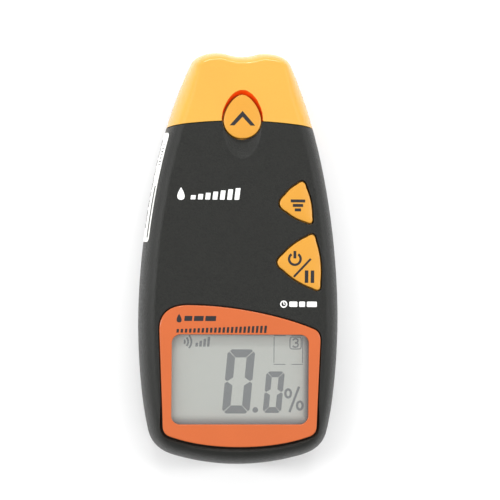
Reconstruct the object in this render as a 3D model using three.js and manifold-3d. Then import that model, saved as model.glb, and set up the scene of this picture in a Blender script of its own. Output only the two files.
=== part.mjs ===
// Hand-held pinless moisture meter, lying on its back.
// Millimetres. X is the width, +Y points to the head, +Z leaves the display face,
// z = 0 is the flat back, and the origin is the middle of the back.
import * as THREE from "three";
import { mergeVertices } from "three/addons/utils/BufferGeometryUtils.js";
import Module from "manifold-3d";

const wasm = await Module();
wasm.setup();

// ---------------------------------------------------------------- driving dimensions
const BODY_LENGTH = 140;
const BODY_WIDTH = 68;
const SHELL_WALL = 2;
const FACE_WALL = 2.5;
const REAR_WALL = 2.2;
const FRONT_EDGE_INSET = 5.5; // how far the front edge rounding reaches in from the side
const FRONT_EDGE_DEPTH = 12; // how far it reaches down the side
const REAR_EDGE_ROUNDING = 5;
const REAR_SHELL_DEPTH = 13.8; // back plane to the parting line
const PARTING_GAP = 0.3;
const FIT_GAP = 0.3; // between pieces that lie side by side
const GLUE_GAP = 0.1; // between pieces that are bonded or rest on each other

const CORNER_STATION = 11.5; // bottom end to where the side curve starts
const CORNER_INSET = 3.5; // body half-width less the half-width there
const WIDEST_STATION = 49; // bottom end to the widest point
const HEAD_STATION = 4; // head end to where the side curve stops
const HEAD_HALF_WIDTH = 17;
const HEAD_BUMP_X = 8;
const HEAD_DIP = 1.2;
const END_ARC_INSET = 13; // body half-width less that of the bottom end's shallow arc
const END_ARC_RISE = 2.9;
const SIDE_LEAN = 2.5; // how much the side still widens where it leaves the bottom corner
const CORNER_FULLNESS = 5.1; // how far the bottom corners' curve follows the lines that it joins

const CAP_LENGTH = 23.7; // head end to the seam, on the centre line
const CAP_SEAM_RISE = 1.9; // how much lower the seam is at the sides
const CAP_BACK = 3.9; // height of the cap's rear edge over the back plane

const BEZEL_MARGIN = 4.25; // bezel outside the window opening, each side
const BEZEL_TAPER = 1.4; // how much narrower each side is at its foot
const BEZEL_FOOT = 6.8; // bottom end to the lowest point of the bezel
const BEZEL_FOOT_RISE = 5.2; // lowest point to the foot corners
const BEZEL_LEFT_TOP = 54.4; // bottom end to the top edge at the left
const BEZEL_RIGHT_TOP = 46.5; // bottom end to where the sloping top edge meets the right corner
const BEZEL_THICKNESS = 1.4;
const BEZEL_POCKET = 1.5; // depth of the recess that the bezel lies in
const WINDOW_OPENING_HALF_WIDTH = 23.05;
const WINDOW_OPENING_HEIGHT = 30.2;
const WINDOW_OPENING_FOOT = 14.4; // bottom end to the opening's lower edge
const WINDOW_OPENING_CORNER = 1.6;
const WINDOW_LAP = 1.3; // how far the window reaches under the bezel
const WINDOW_THICKNESS = 1;
const LCD_BORDER = 1.7; // glass outside the visible area
const LCD_THICKNESS = 1.7;
const LCD_TO_WINDOW = 0.2;
const LCD_RISE = 1.2; // board to the underside of the glass
const LCD_FRAME_WALL = 0.8;

const UP_KEY_HEIGHT = 14.6;
const UP_KEY_HALF_WIDTH = 6.25;
const UP_KEY_FROM_HEAD = 15; // head end to the key's upper edge
const SCOOP_DEPTH = 1.4;
const SCOOP_REACH = 7; // how far the finger scoop runs past the key's lower edge
const SCOOP_HALF_WIDTH = 6.6;
const SCOOP_BALL_HEIGHT = 8; // half height of the ellipsoid that cuts the scoop
const MODE_KEY_FROM_HEAD = 51;
const MODE_KEY_X = 19.4;
const POWER_KEY_FROM_HEAD = 71;
const POWER_KEY_X = 21.2;
const KEY_GAP = 0.4;
const UP_KEY_GAP = 0.6;
const KEY_PROUD = 0.5;
const KEY_FLANGE = 0.8;
const KEY_FLANGE_LIP = 0.9;
const KEY_TRAVEL = 0.55;
const KEY_BEVEL = 0.4;

const BATTERY_WIDTH = 26.5;
const BATTERY_THICKNESS = 17.5;
const BATTERY_CASE_LENGTH = 46.4;
const BATTERY_FOOT = 6; // bottom end to the battery's foot
const TERMINAL_HEIGHT = 2.1;
const TERMINAL_SPACING = 12.7;
const POSITIVE_TERMINAL_RADIUS = 2.8;
const NEGATIVE_TERMINAL_RADIUS = 4.1;
const CLIP_LENGTH = 4;
const CLIP_HEIGHT = 12;
const LEAD_DIAMETER = 1.5;
const LEAD_ROOM = 5; // between the snap clip and the compartment's end wall
const COMPARTMENT_WALL = 1.2;
const COMPARTMENT_ROOF = 1;
const BATTERY_CLEARANCE = 0.4;
const LEAD_HOLE_RADIUS = 3.2;
const RAIL_HEIGHT = 2.7; // walls beside and over the door's tongues
const RAIL_ROOF = 1.2; // the part of them over the tongues
const DOOR_RECESS = 0.2;
const DOOR_THICKNESS = 2;
const DOOR_TONGUE = 1.3;
const DOOR_TONGUE_THICKNESS = 1;
const DOOR_SIDE_LAP = 1.6; // door plate past the compartment's inside, each side
const DOOR_END_LAP = 2;
// Thumb grooves across the door.
const DOOR_GROOVES = { count: 5, pitch: 2.2, width: 1, length: 16, depth: 0.5, fromEnd: 12.5 };
const FOAM_WIDTH = 20;
const FOAM_LENGTH = 34;
const FOAM_THICKNESS = 0.9;

const BOARD_THICKNESS = 1.2;
const BOARD_EDGE = 3.8; // outer outline to the board's edge
const BOARD_FROM_HEAD = 16;
const SWITCH_SIZE = 6;
const PLUNGER_RADIUS = 1.4;
const PLUNGER_BURIED = 0.45; // of the plunger inside the switch at rest, besides the key's travel
const SENSOR_PAD_WIDTH = 38;
const SENSOR_PAD_LENGTH = 38;
const SENSOR_PAD_FROM_HEAD = 17;
const SENSOR_PAD_THICKNESS = 1.2;
const SENSE_PLATE_MARGIN = 3;
const SENSE_PLATE_THICKNESS = 0.4;
const SENSE_SPRING_RADIUS = 2.5;
const SENSE_SPRING_WIRE = 0.6;
const SENSE_SPRING_TURNS = 5;

const SCREW_SHAFT_RADIUS = 1.3;
const SCREW_HEAD_RADIUS = 2.5;
const SCREW_HEAD_HEIGHT = 1.8;
const SCREW_LENGTH = 13;
const SCREW_SEAT = 4; // back plane to the screw head's outer face
const BOSS_RADIUS = 2.7;
const BOSS_WALL = 1.2;
const BOARD_SCREW_RADIUS = 0.9;
const BOARD_SCREW_HEAD_RADIUS = 1.8;
const BOARD_SCREW_HEAD_HEIGHT = 1.2;
const BOARD_SCREW_LENGTH = 4;
const BOARD_POST_RADIUS = 2.1;

const CHIP = { x: -10, fromHead: 60, size: 10, height: 1.4 };
const CAPACITOR = { x: -16, fromHead: 45, radius: 2.5, height: 8 };
const CRYSTAL = { x: 15, fromHead: 60, length: 10, width: 4, height: 3.4 };

const LABEL_LENGTH = 37;
const LABEL_HEIGHT = 10.4;
const LABEL_FROM_HEAD = 27.5;
const LABEL_THICKNESS = 0.2;
const LABEL_GLUE = 0.05; // between the label and the wall

// ---------------------------------------------------------------- places that follow from them
const END_Y = -BODY_LENGTH / 2;
const HEAD_Y = BODY_LENGTH / 2;
const HALF_WIDTH = BODY_WIDTH / 2;
const BEZEL_HALF_WIDTH = WINDOW_OPENING_HALF_WIDTH + BEZEL_MARGIN;
const SEAM_Y = HEAD_Y - CAP_LENGTH;
const COMPARTMENT_HALF_WIDTH = BATTERY_WIDTH / 2 + BATTERY_CLEARANCE;
// Heights stack up from the door: battery, foam, compartment roof, board, display, face.
const BATTERY_Z = DOOR_RECESS + DOOR_THICKNESS + FIT_GAP;
const BATTERY_TOP = BATTERY_Z + BATTERY_THICKNESS;
const FOAM_Z = BATTERY_TOP + GLUE_GAP;
const ROOF_Z = FOAM_Z + FOAM_THICKNESS + FIT_GAP;
const BOARD_Z = ROOF_Z + COMPARTMENT_ROOF + FIT_GAP;
const BOARD_TOP = BOARD_Z + BOARD_THICKNESS;
const LCD_Z = BOARD_TOP + GLUE_GAP + LCD_RISE;
const INNER_FACE = LCD_Z + LCD_THICKNESS + LCD_TO_WINDOW;
const FACE_HEIGHT = INNER_FACE + FACE_WALL;
const BATTERY_Y = END_Y + BATTERY_FOOT;
const BATTERY_HEAD_Y = BATTERY_Y + BATTERY_CASE_LENGTH;
const CLIP_Y = BATTERY_HEAD_Y + FIT_GAP;
const COMPARTMENT_END_Y = CLIP_Y + CLIP_LENGTH + LEAD_ROOM;
const DOOR_HALF_WIDTH = COMPARTMENT_HALF_WIDTH + DOOR_SIDE_LAP;
const DOOR_END_Y = COMPARTMENT_END_Y + DOOR_END_LAP;
const BEZEL_FOOT_Y = END_Y + BEZEL_FOOT;
const OPENING_FOOT_Y = END_Y + WINDOW_OPENING_FOOT;
const UP_KEY_TOP = HEAD_Y - UP_KEY_FROM_HEAD;
const UP_KEY_Y = UP_KEY_TOP - UP_KEY_HEIGHT / 2;
const POCKET_FLOOR = FACE_HEIGHT - BEZEL_POCKET;
const SENSOR_PAD_Y = HEAD_Y - SENSOR_PAD_FROM_HEAD - SENSOR_PAD_LENGTH / 2;

// Shell screws: two at the bottom, two at the shoulders, two in the head.
const SHELL_SCREWS = [
  { x: 21.2, y: END_Y + 8.4 },
  { x: 22.5, y: HEAD_Y - 38 },
  { x: 12.4, y: HEAD_Y - 12.4 },
];
const BOARD_SCREWS = [
  { x: -24, y: HEAD_Y - 78 },
  { x: -13, y: HEAD_Y - 32 },
  { x: 13, y: HEAD_Y - 32 },
];

// ---------------------------------------------------------------- solids
function solidOf(geometry) {
  const bare = geometry.index ? geometry.toNonIndexed() : geometry.clone();
  bare.deleteAttribute("normal");
  bare.deleteAttribute("uv");
  const merged = mergeVertices(bare, 1e-4);
  return new wasm.Manifold(
    new wasm.Mesh({
      numProp: 3,
      vertProperties: merged.attributes.position.array,
      triVerts: new Uint32Array(merged.index.array),
    }),
  );
}

function join(...solids) {
  return solids.reduce((whole, piece) => whole.add(piece));
}

function box(x0, x1, y0, y1, z0, z1) {
  const shape = new THREE.BoxGeometry(x1 - x0, y1 - y0, z1 - z0);
  return solidOf(shape.translate((x0 + x1) / 2, (y0 + y1) / 2, (z0 + z1) / 2));
}

// A block by its middle and its sizes in plan.
function boxAt(x, y, width, length, z0, z1) {
  return box(x - width / 2, x + width / 2, y - length / 2, y + length / 2, z0, z1);
}

// A cylinder along Z from z0 to z1.
function rod(radius, x, y, z0, z1, sides = 20) {
  const shape = new THREE.CylinderGeometry(radius, radius, z1 - z0, sides);
  return solidOf(shape.rotateX(Math.PI / 2).translate(x, y, (z0 + z1) / 2));
}

function rodAlongY(radius, x, z, y0, y1, sides = 20) {
  const shape = new THREE.CylinderGeometry(radius, radius, y1 - y0, sides);
  return solidOf(shape.translate(x, (y0 + y1) / 2, z));
}

// A flat outline pulled up from z0 to z1, with its edges rounded where a rounding is given.
function slab(points, z0, z1, inset = 0, depth = inset, steps = 4) {
  const rounded = inset > 0;
  const shape = new THREE.ExtrudeGeometry(new THREE.Shape(points), {
    depth: z1 - z0 - (rounded ? 2 * depth : 0),
    bevelEnabled: rounded,
    bevelThickness: depth,
    bevelSize: inset,
    bevelOffset: -inset,
    bevelSegments: steps,
    steps: 1,
  });
  return solidOf(shape.translate(0, 0, z0 + (rounded ? depth : 0)));
}

// Moves each point of a counter-clockwise outline outwards; a negative distance moves it in.
function offset(points, distance) {
  const count = points.length;
  return points.map((point, i) => {
    const before = points[(i + count - 1) % count];
    const after = points[(i + 1) % count];
    const first = new THREE.Vector2(point.y - before.y, before.x - point.x).normalize();
    const second = new THREE.Vector2(after.y - point.y, point.x - after.x).normalize();
    const middle = first.clone().add(second).normalize();
    return point.clone().addScaledVector(middle, distance / middle.dot(second));
  });
}

function mirrored(points) {
  return points.map((point) => new THREE.Vector2(-point.x, point.y)).reverse();
}

// The points of a closed shape, without the last one where it repeats the first.
function pointsOf(shape, divisions) {
  const points = shape.getPoints(divisions);
  if (points[0].distanceTo(points[points.length - 1]) < 1e-6) points.pop();
  return THREE.ShapeUtils.isClockWise(points) ? points.reverse() : points;
}

function roundedBox(halfWidth, y0, y1, radius, divisions = 5) {
  const shape = new THREE.Shape();
  shape.moveTo(halfWidth - radius, y0);
  shape.absarc(halfWidth - radius, y0 + radius, radius, -Math.PI / 2, 0);
  shape.absarc(halfWidth - radius, y1 - radius, radius, 0, Math.PI / 2);
  shape.absarc(radius - halfWidth, y1 - radius, radius, Math.PI / 2, Math.PI);
  shape.absarc(radius - halfWidth, y0 + radius, radius, Math.PI, Math.PI * 1.5);
  return pointsOf(shape, divisions);
}

// ---------------------------------------------------------------- the body's form
// Right half of the plan outline, from the bottom end up to the head.
function bodyOutline() {
  const arcX = HALF_WIDTH - END_ARC_INSET;
  const arcY = END_Y + END_ARC_RISE;
  const cornerX = HALF_WIDTH - CORNER_INSET;
  const cornerY = END_Y + CORNER_STATION;
  const widestY = END_Y + WIDEST_STATION;
  const headY = HEAD_Y - HEAD_STATION;
  const lowerSide = widestY - cornerY;
  const upperSide = headY - widestY;
  const endSlope = new THREE.Vector2(arcX, 2 * END_ARC_RISE).normalize();
  const sideSlope = new THREE.Vector2(SIDE_LEAN, lowerSide * 0.28).normalize();
  const half = new THREE.Path();
  half.moveTo(0, END_Y);
  half.quadraticCurveTo(arcX / 2, END_Y, arcX, arcY);
  half.bezierCurveTo(
    arcX + endSlope.x * CORNER_FULLNESS, arcY + endSlope.y * CORNER_FULLNESS,
    cornerX - sideSlope.x * CORNER_FULLNESS, cornerY - sideSlope.y * CORNER_FULLNESS,
    cornerX, cornerY,
  );
  half.bezierCurveTo(
    cornerX + SIDE_LEAN, cornerY + lowerSide * 0.28,
    HALF_WIDTH, widestY - lowerSide * 0.3,
    HALF_WIDTH, widestY,
  );
  half.bezierCurveTo(
    HALF_WIDTH, widestY + upperSide * 0.21,
    HEAD_HALF_WIDTH + upperSide * 0.16, headY - upperSide * 0.344,
    HEAD_HALF_WIDTH, headY,
  );
  half.bezierCurveTo(
    HEAD_HALF_WIDTH - 1.3, HEAD_Y - 1.2,
    HEAD_BUMP_X + 4, HEAD_Y,
    HEAD_BUMP_X, HEAD_Y,
  );
  half.bezierCurveTo(
    HEAD_BUMP_X * 0.6, HEAD_Y,
    HEAD_BUMP_X * 0.5, HEAD_Y - HEAD_DIP,
    0, HEAD_Y - HEAD_DIP,
  );
  const right = half.getPoints(7);
  return [...right, ...mirrored(right).slice(1, -1)];
}

const OUTLINE = bodyOutline();

// The whole body, its outside moved inwards by "wall": the part in front of the parting line.
function frontForm(wall, faceZ, z0) {
  const inset = FRONT_EDGE_INSET - wall;
  const depth = FRONT_EDGE_DEPTH - wall;
  const whole = slab(offset(OUTLINE, -wall), z0 - 2 * depth, faceZ, inset, depth);
  return whole.intersect(box(-BODY_WIDTH, BODY_WIDTH, END_Y - 1, HEAD_Y + 1, z0, faceZ + 1));
}

// The same behind the parting line.
function rearForm(wall, backZ, z1) {
  const rounding = REAR_EDGE_ROUNDING - wall;
  const whole = slab(offset(OUTLINE, -wall), backZ, z1 + 2 * rounding, rounding);
  return whole.intersect(box(-BODY_WIDTH, BODY_WIDTH, END_Y - 1, HEAD_Y + 1, backZ - 1, z1));
}

// Everything on the head's side of the arched seam, moved towards the head by "shift".
function headSide(shift) {
  const y = SEAM_Y + shift;
  const shape = new THREE.Shape();
  shape.moveTo(BODY_WIDTH, y - CAP_SEAM_RISE * 4);
  shape.lineTo(BODY_WIDTH, HEAD_Y + 10);
  shape.lineTo(-BODY_WIDTH, HEAD_Y + 10);
  shape.lineTo(-BODY_WIDTH, y - CAP_SEAM_RISE * 4);
  shape.lineTo(-HALF_WIDTH, y - CAP_SEAM_RISE * 2);
  shape.quadraticCurveTo(0, y + CAP_SEAM_RISE * 2, HALF_WIDTH, y - CAP_SEAM_RISE * 2);
  return slab(pointsOf(shape, 10), -1, FACE_HEIGHT + 5);
}

// ---------------------------------------------------------------- keys
// Egg with its narrow end towards the head.
function upKeyOutline() {
  const w = UP_KEY_HALF_WIDTH;
  const top = UP_KEY_TOP;
  const foot = top - UP_KEY_HEIGHT;
  const widest = foot + UP_KEY_HEIGHT * 0.4;
  const shape = new THREE.Shape();
  shape.moveTo(0, foot);
  shape.bezierCurveTo(w * 0.62, foot, w, widest - UP_KEY_HEIGHT * 0.2, w, widest);
  shape.bezierCurveTo(w, widest + UP_KEY_HEIGHT * 0.25, w * 0.45, top, 0, top);
  shape.bezierCurveTo(-w * 0.45, top, -w, widest + UP_KEY_HEIGHT * 0.25, -w, widest);
  shape.bezierCurveTo(-w, widest - UP_KEY_HEIGHT * 0.2, -w * 0.62, foot, 0, foot);
  return pointsOf(shape, 8);
}

// Rounded triangle that points left: two corners on the right, one on the left.
function triangleKeyOutline(x, y, corners, roundings) {
  const shape = new THREE.Shape();
  const points = corners.map(([dx, dy]) => new THREE.Vector2(x + dx, y + dy));
  points.forEach((corner, i) => {
    const before = points[(i + 2) % 3];
    const after = points[(i + 1) % 3];
    const arrive = corner.clone().lerp(before, roundings[i] / corner.distanceTo(before));
    const leave = corner.clone().lerp(after, roundings[i] / corner.distanceTo(after));
    if (i === 0) shape.moveTo(arrive.x, arrive.y);
    else {
      const other = points[i - 1];
      const last = other.clone().lerp(corner, roundings[i - 1] / corner.distanceTo(other));
      bulge(shape, last, arrive);
    }
    shape.quadraticCurveTo(corner.x, corner.y, leave.x, leave.y);
  });
  const closing = points[0].distanceTo(points[2]);
  const first = points[0].clone().lerp(points[2], roundings[0] / closing);
  const last = points[2].clone().lerp(points[0], roundings[2] / closing);
  bulge(shape, last, first);
  return pointsOf(shape, 5);
}

// A side that bows outwards a little between two corners of a counter-clockwise triangle.
function bulge(shape, from, to) {
  const along = to.clone().sub(from);
  const outward = new THREE.Vector2(along.y, -along.x).multiplyScalar(0.11);
  const middle = from.clone().add(to).multiplyScalar(0.5).add(outward);
  shape.quadraticCurveTo(middle.x, middle.y, to.x, to.y);
}

const MODE_KEY_Y = HEAD_Y - MODE_KEY_FROM_HEAD;
const POWER_KEY_Y = HEAD_Y - POWER_KEY_FROM_HEAD;
const KEYS = [
  { name: "up", x: 0, y: UP_KEY_Y, gap: UP_KEY_GAP, outline: upKeyOutline() },
  {
    name: "mode",
    gap: KEY_GAP,
    x: MODE_KEY_X,
    y: MODE_KEY_Y,
    outline: triangleKeyOutline(
      MODE_KEY_X, MODE_KEY_Y, [[1.6, 8.2], [-8.6, -0.8], [5, -7.8]], [3.2, 5, 3.2],
    ),
  },
  {
    name: "power",
    gap: KEY_GAP,
    x: POWER_KEY_X,
    y: POWER_KEY_Y,
    outline: triangleKeyOutline(
      POWER_KEY_X, POWER_KEY_Y, [[3.5, 10.5], [-10.9, -0.3], [5.8, -10.4]], [3.4, 4.6, 3.4],
    ),
  },
];

const FLANGE_TOP = INNER_FACE - FIT_GAP;
const FLANGE_Z = FLANGE_TOP - KEY_FLANGE;
const SWITCH_TOP = FLANGE_Z - KEY_TRAVEL - GLUE_GAP;
const PLUNGER_Z = SWITCH_TOP - PLUNGER_BURIED;
const SWITCH_FLOOR_GAP = 0.1;

function keyCap(key) {
  const top = FACE_HEIGHT + KEY_PROUD;
  const cap = slab(key.outline, FLANGE_TOP - 1, top, KEY_BEVEL, KEY_BEVEL, 2)
    .intersect(box(-BODY_WIDTH, BODY_WIDTH, END_Y, HEAD_Y, FLANGE_Z + 0.1, top + 1));
  const flange = slab(offset(key.outline, KEY_FLANGE_LIP), FLANGE_Z, FLANGE_TOP);
  return join(cap, flange);
}

function keyHole(key) {
  return slab(offset(key.outline, key.gap), REAR_SHELL_DEPTH + 5, FACE_HEIGHT + 5);
}

function switchBody(key) {
  const z = BOARD_TOP + GLUE_GAP;
  const half = SWITCH_SIZE / 2;
  const floor = PLUNGER_Z - KEY_TRAVEL - SWITCH_FLOOR_GAP;
  const bore = rod(PLUNGER_RADIUS + FIT_GAP, key.x, key.y, floor, SWITCH_TOP + 1, 16);
  return box(key.x - half, key.x + half, key.y - half, key.y + half, z, SWITCH_TOP).subtract(bore);
}

// The dish below the up key, which lets a fingertip reach the key's lower edge.
function scoopCutter() {
  const rise = SCOOP_BALL_HEIGHT - SCOOP_DEPTH;
  const share = Math.sqrt(1 - (rise / SCOOP_BALL_HEIGHT) ** 2);
  const foot = UP_KEY_TOP - UP_KEY_HEIGHT - SCOOP_REACH;
  const middle = UP_KEY_Y - 3;
  const ball = new THREE.SphereGeometry(1, 24, 20);
  ball.scale(SCOOP_HALF_WIDTH / share, (middle - foot) / share, SCOOP_BALL_HEIGHT);
  return solidOf(ball.translate(0, middle, FACE_HEIGHT + rise));
}

// ---------------------------------------------------------------- display
function bezelOutline() {
  const foot = BEZEL_FOOT_Y;
  const cornerY = foot + BEZEL_FOOT_RISE;
  const rightTop = END_Y + BEZEL_RIGHT_TOP;
  const leftTop = END_Y + BEZEL_LEFT_TOP;
  const wide = BEZEL_HALF_WIDTH;
  const footX = wide - BEZEL_TAPER;
  const shape = new THREE.Shape();
  shape.moveTo(0, foot);
  shape.quadraticCurveTo(footX * 0.52, foot, footX - 2.6, cornerY - 1.7);
  shape.quadraticCurveTo(footX - 0.1, cornerY - 0.9, footX, cornerY + 1.8);
  shape.lineTo(wide - 0.3, rightTop - 4);
  shape.quadraticCurveTo(wide - 0.3, rightTop - 1, wide - 2.5, rightTop);
  shape.bezierCurveTo(wide * 0.54, rightTop + 4.2, -wide * 0.07, leftTop, -wide * 0.64, leftTop);
  shape.bezierCurveTo(-wide * 0.88, leftTop, -wide, leftTop - 2.9, -wide, leftTop - 8.4);
  shape.lineTo(-footX, cornerY + 1.8);
  shape.quadraticCurveTo(0.1 - footX, cornerY - 0.9, 2.6 - footX, cornerY - 1.7);
  shape.quadraticCurveTo(-footX * 0.52, foot, 0, foot);
  return pointsOf(shape, 8);
}

const BEZEL_OUTLINE = bezelOutline();

function displayBezel() {
  const z = POCKET_FLOOR + GLUE_GAP;
  const plate = slab(BEZEL_OUTLINE, z, z + BEZEL_THICKNESS, 0.3, 0.3, 2);
  const opening = roundedBox(
    WINDOW_OPENING_HALF_WIDTH, OPENING_FOOT_Y, OPENING_FOOT_Y + WINDOW_OPENING_HEIGHT,
    WINDOW_OPENING_CORNER,
  );
  return plate.subtract(slab(opening, z - 1, z + 9));
}

// A rounded rectangle around the window opening, wider by "lap" on every side.
function aroundOpening(lap, radius) {
  return roundedBox(
    WINDOW_OPENING_HALF_WIDTH + lap, OPENING_FOOT_Y - lap,
    OPENING_FOOT_Y + WINDOW_OPENING_HEIGHT + lap, radius, 3,
  );
}

// ---------------------------------------------------------------- shells
function screwPlaces() {
  return SHELL_SCREWS.flatMap(({ x, y }) => [{ x: -x, y }, { x, y }]);
}

function frontBosses(places) {
  const z0 = REAR_SHELL_DEPTH + PARTING_GAP;
  return places.map(({ x, y }) => rod(BOSS_RADIUS, x, y, z0, INNER_FACE + 0.5, 16));
}

function frontBores(places) {
  return places.map(({ x, y }) => (
    rod(SCREW_SHAFT_RADIUS + GLUE_GAP, x, y, REAR_SHELL_DEPTH - 1, SCREW_SEAT + SCREW_LENGTH + 1.5, 12)
  ));
}

const HEAD_SCREWS = screwPlaces().filter(({ y }) => y > SEAM_Y);
const BODY_SCREWS = screwPlaces().filter(({ y }) => y < SEAM_Y);

function frontShell() {
  const z0 = REAR_SHELL_DEPTH + PARTING_GAP;
  let shell = frontForm(0, FACE_HEIGHT, z0).subtract(frontForm(SHELL_WALL, INNER_FACE, z0 - 1));
  shell = join(shell, ...frontBosses(BODY_SCREWS));
  const posts = BOARD_SCREWS.map(({ x, y }) => (
    rod(BOARD_POST_RADIUS, x, y, BOARD_TOP + GLUE_GAP, INNER_FACE + 0.5, 14)
  ));
  shell = join(shell, ...posts);
  const cuts = [
    ...frontBores(BODY_SCREWS),
    ...BOARD_SCREWS.map(({ x, y }) => (
      rod(BOARD_SCREW_RADIUS + GLUE_GAP, x, y, BOARD_TOP - 1, BOARD_TOP + BOARD_SCREW_LENGTH - 1, 10)
    )),
    ...KEYS.map(keyHole),
    slab(offset(BEZEL_OUTLINE, FIT_GAP), POCKET_FLOOR, FACE_HEIGHT + 5),
    slab(aroundOpening(WINDOW_LAP + FIT_GAP, 2), INNER_FACE - 3, FACE_HEIGHT + 5),
    headSide(-FIT_GAP / 2),
    scoopCutter(),
  ];
  return cuts.reduce((solid, cut) => solid.subtract(cut), shell);
}

function noseCap() {
  const floor = box(-BODY_WIDTH, BODY_WIDTH, END_Y, HEAD_Y + 5, CAP_BACK, REAR_SHELL_DEPTH);
  const behind = rearForm(0, 0, REAR_SHELL_DEPTH).intersect(floor);
  const outside = join(frontForm(0, FACE_HEIGHT, REAR_SHELL_DEPTH), behind);
  const inside = join(
    frontForm(SHELL_WALL, INNER_FACE, REAR_SHELL_DEPTH - 0.01),
    rearForm(SHELL_WALL, REAR_WALL, REAR_SHELL_DEPTH),
  );
  let cap = outside.subtract(inside).intersect(headSide(FIT_GAP / 2));
  cap = join(cap, ...frontBosses(HEAD_SCREWS));
  return [...frontBores(HEAD_SCREWS), keyHole(KEYS[0])].reduce((solid, cut) => solid.subtract(cut), cap);
}

// Door plate with a tongue on each side, grown by "gap" to cut its own opening.
function doorSection(gap, y0, y1) {
  const top = DOOR_RECESS + DOOR_THICKNESS + gap;
  const plate = DOOR_HALF_WIDTH + gap;
  const tongue = plate + DOOR_TONGUE;
  const tongueZ = DOOR_RECESS + DOOR_THICKNESS - DOOR_TONGUE_THICKNESS - gap;
  return join(box(-plate, plate, y0, y1, -1, top), box(-tongue, tongue, y0, y1, tongueZ, top));
}

function rearShell() {
  const z1 = REAR_SHELL_DEPTH;
  const behindCap = headSide(-FIT_GAP).intersect(
    box(-BODY_WIDTH, BODY_WIDTH, END_Y, HEAD_Y + 5, CAP_BACK - FIT_GAP, z1 + 5),
  );
  let shell = rearForm(0, 0, z1).subtract(rearForm(SHELL_WALL, REAR_WALL, z1 + 1)).subtract(behindCap);
  const railX = DOOR_HALF_WIDTH + DOOR_TONGUE + FIT_GAP + COMPARTMENT_WALL;
  const railTop = DOOR_RECESS + DOOR_THICKNESS + FIT_GAP + RAIL_ROOF;
  const wallEnd = COMPARTMENT_END_Y + COMPARTMENT_WALL;
  const rails = box(-railX, railX, END_Y, wallEnd + DOOR_END_LAP, railTop - RAIL_HEIGHT, railTop);
  const outerX = COMPARTMENT_HALF_WIDTH + COMPARTMENT_WALL;
  const y0 = BATTERY_Y - BATTERY_CLEARANCE;
  const y1 = COMPARTMENT_END_Y;
  const roofTop = ROOF_Z + COMPARTMENT_ROOF;
  const inside = rearForm(0.5, 0.5, z1 + 1);
  shell = join(
    shell,
    rails.intersect(inside),
    box(-outerX, outerX, y0 - COMPARTMENT_WALL, wallEnd, REAR_WALL - 0.5, roofTop),
  );
  const tubes = screwPlaces().map(({ x, y }) => {
    const tube = rod(SCREW_HEAD_RADIUS + FIT_GAP + BOSS_WALL, x, y, REAR_WALL / 2, z1, 20);
    const inset = y > SEAM_Y ? SHELL_WALL + FIT_GAP : SHELL_WALL / 2;
    return tube.intersect(rearForm(inset, 0, z1));
  });
  shell = join(shell, ...tubes);
  const pad = roundedBox(
    SENSOR_PAD_WIDTH / 2 + FIT_GAP, SENSOR_PAD_Y - SENSOR_PAD_LENGTH / 2 - FIT_GAP,
    SENSOR_PAD_Y + SENSOR_PAD_LENGTH / 2 + FIT_GAP, 4, 4,
  );
  const leadZ = BATTERY_Z + BATTERY_THICKNESS / 2;
  const leadHole = rodAlongY(LEAD_HOLE_RADIUS, 0, leadZ, y1 - 1, wallEnd + 1, 16);
  const cuts = [
    doorSection(FIT_GAP, END_Y - 1, DOOR_END_Y + FIT_GAP),
    box(-COMPARTMENT_HALF_WIDTH, COMPARTMENT_HALF_WIDTH, y0, y1, -1, ROOF_Z),
    slab(pad, -1, SENSOR_PAD_THICKNESS + GLUE_GAP),
    leadHole,
    ...screwPlaces().flatMap(({ x, y }) => [
      rod(SCREW_HEAD_RADIUS + FIT_GAP, x, y, -1, SCREW_SEAT + SCREW_HEAD_HEIGHT + GLUE_GAP, 20),
      rod(SCREW_SHAFT_RADIUS + FIT_GAP, x, y, -1, z1 + 1, 12),
    ]),
  ];
  return cuts.reduce((solid, cut) => solid.subtract(cut), shell);
}

function batteryDoor() {
  const strip = doorSection(0, END_Y - 1, DOOR_END_Y);
  const below = box(-BODY_WIDTH, BODY_WIDTH, END_Y - 2, HEAD_Y, -2, DOOR_RECESS);
  const plate = strip.intersect(rearForm(0, 0, REAR_SHELL_DEPTH)).subtract(below);
  let door = plate;
  for (let i = 0; i < DOOR_GROOVES.count; i += 1) {
    const y = END_Y + DOOR_GROOVES.fromEnd + i * DOOR_GROOVES.pitch;
    const { length, width, depth } = DOOR_GROOVES;
    door = door.subtract(boxAt(0, y, length, width, -1, DOOR_RECESS + depth));
  }
  return door;
}

function shellScrew({ x, y }) {
  const headTop = SCREW_SEAT + SCREW_HEAD_HEIGHT;
  const slot = SCREW_HEAD_RADIUS * 0.6;
  const blade = 0.35;
  return join(
    rod(SCREW_HEAD_RADIUS, x, y, SCREW_SEAT, headTop, 18),
    rod(SCREW_SHAFT_RADIUS, x, y, headTop - 0.1, SCREW_SEAT + SCREW_LENGTH, 12),
  )
    .subtract(box(x - slot, x + slot, y - blade, y + blade, SCREW_SEAT - 1, SCREW_SEAT + 0.9))
    .subtract(box(x - blade, x + blade, y - slot, y + slot, SCREW_SEAT - 1, SCREW_SEAT + 0.9));
}

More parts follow.
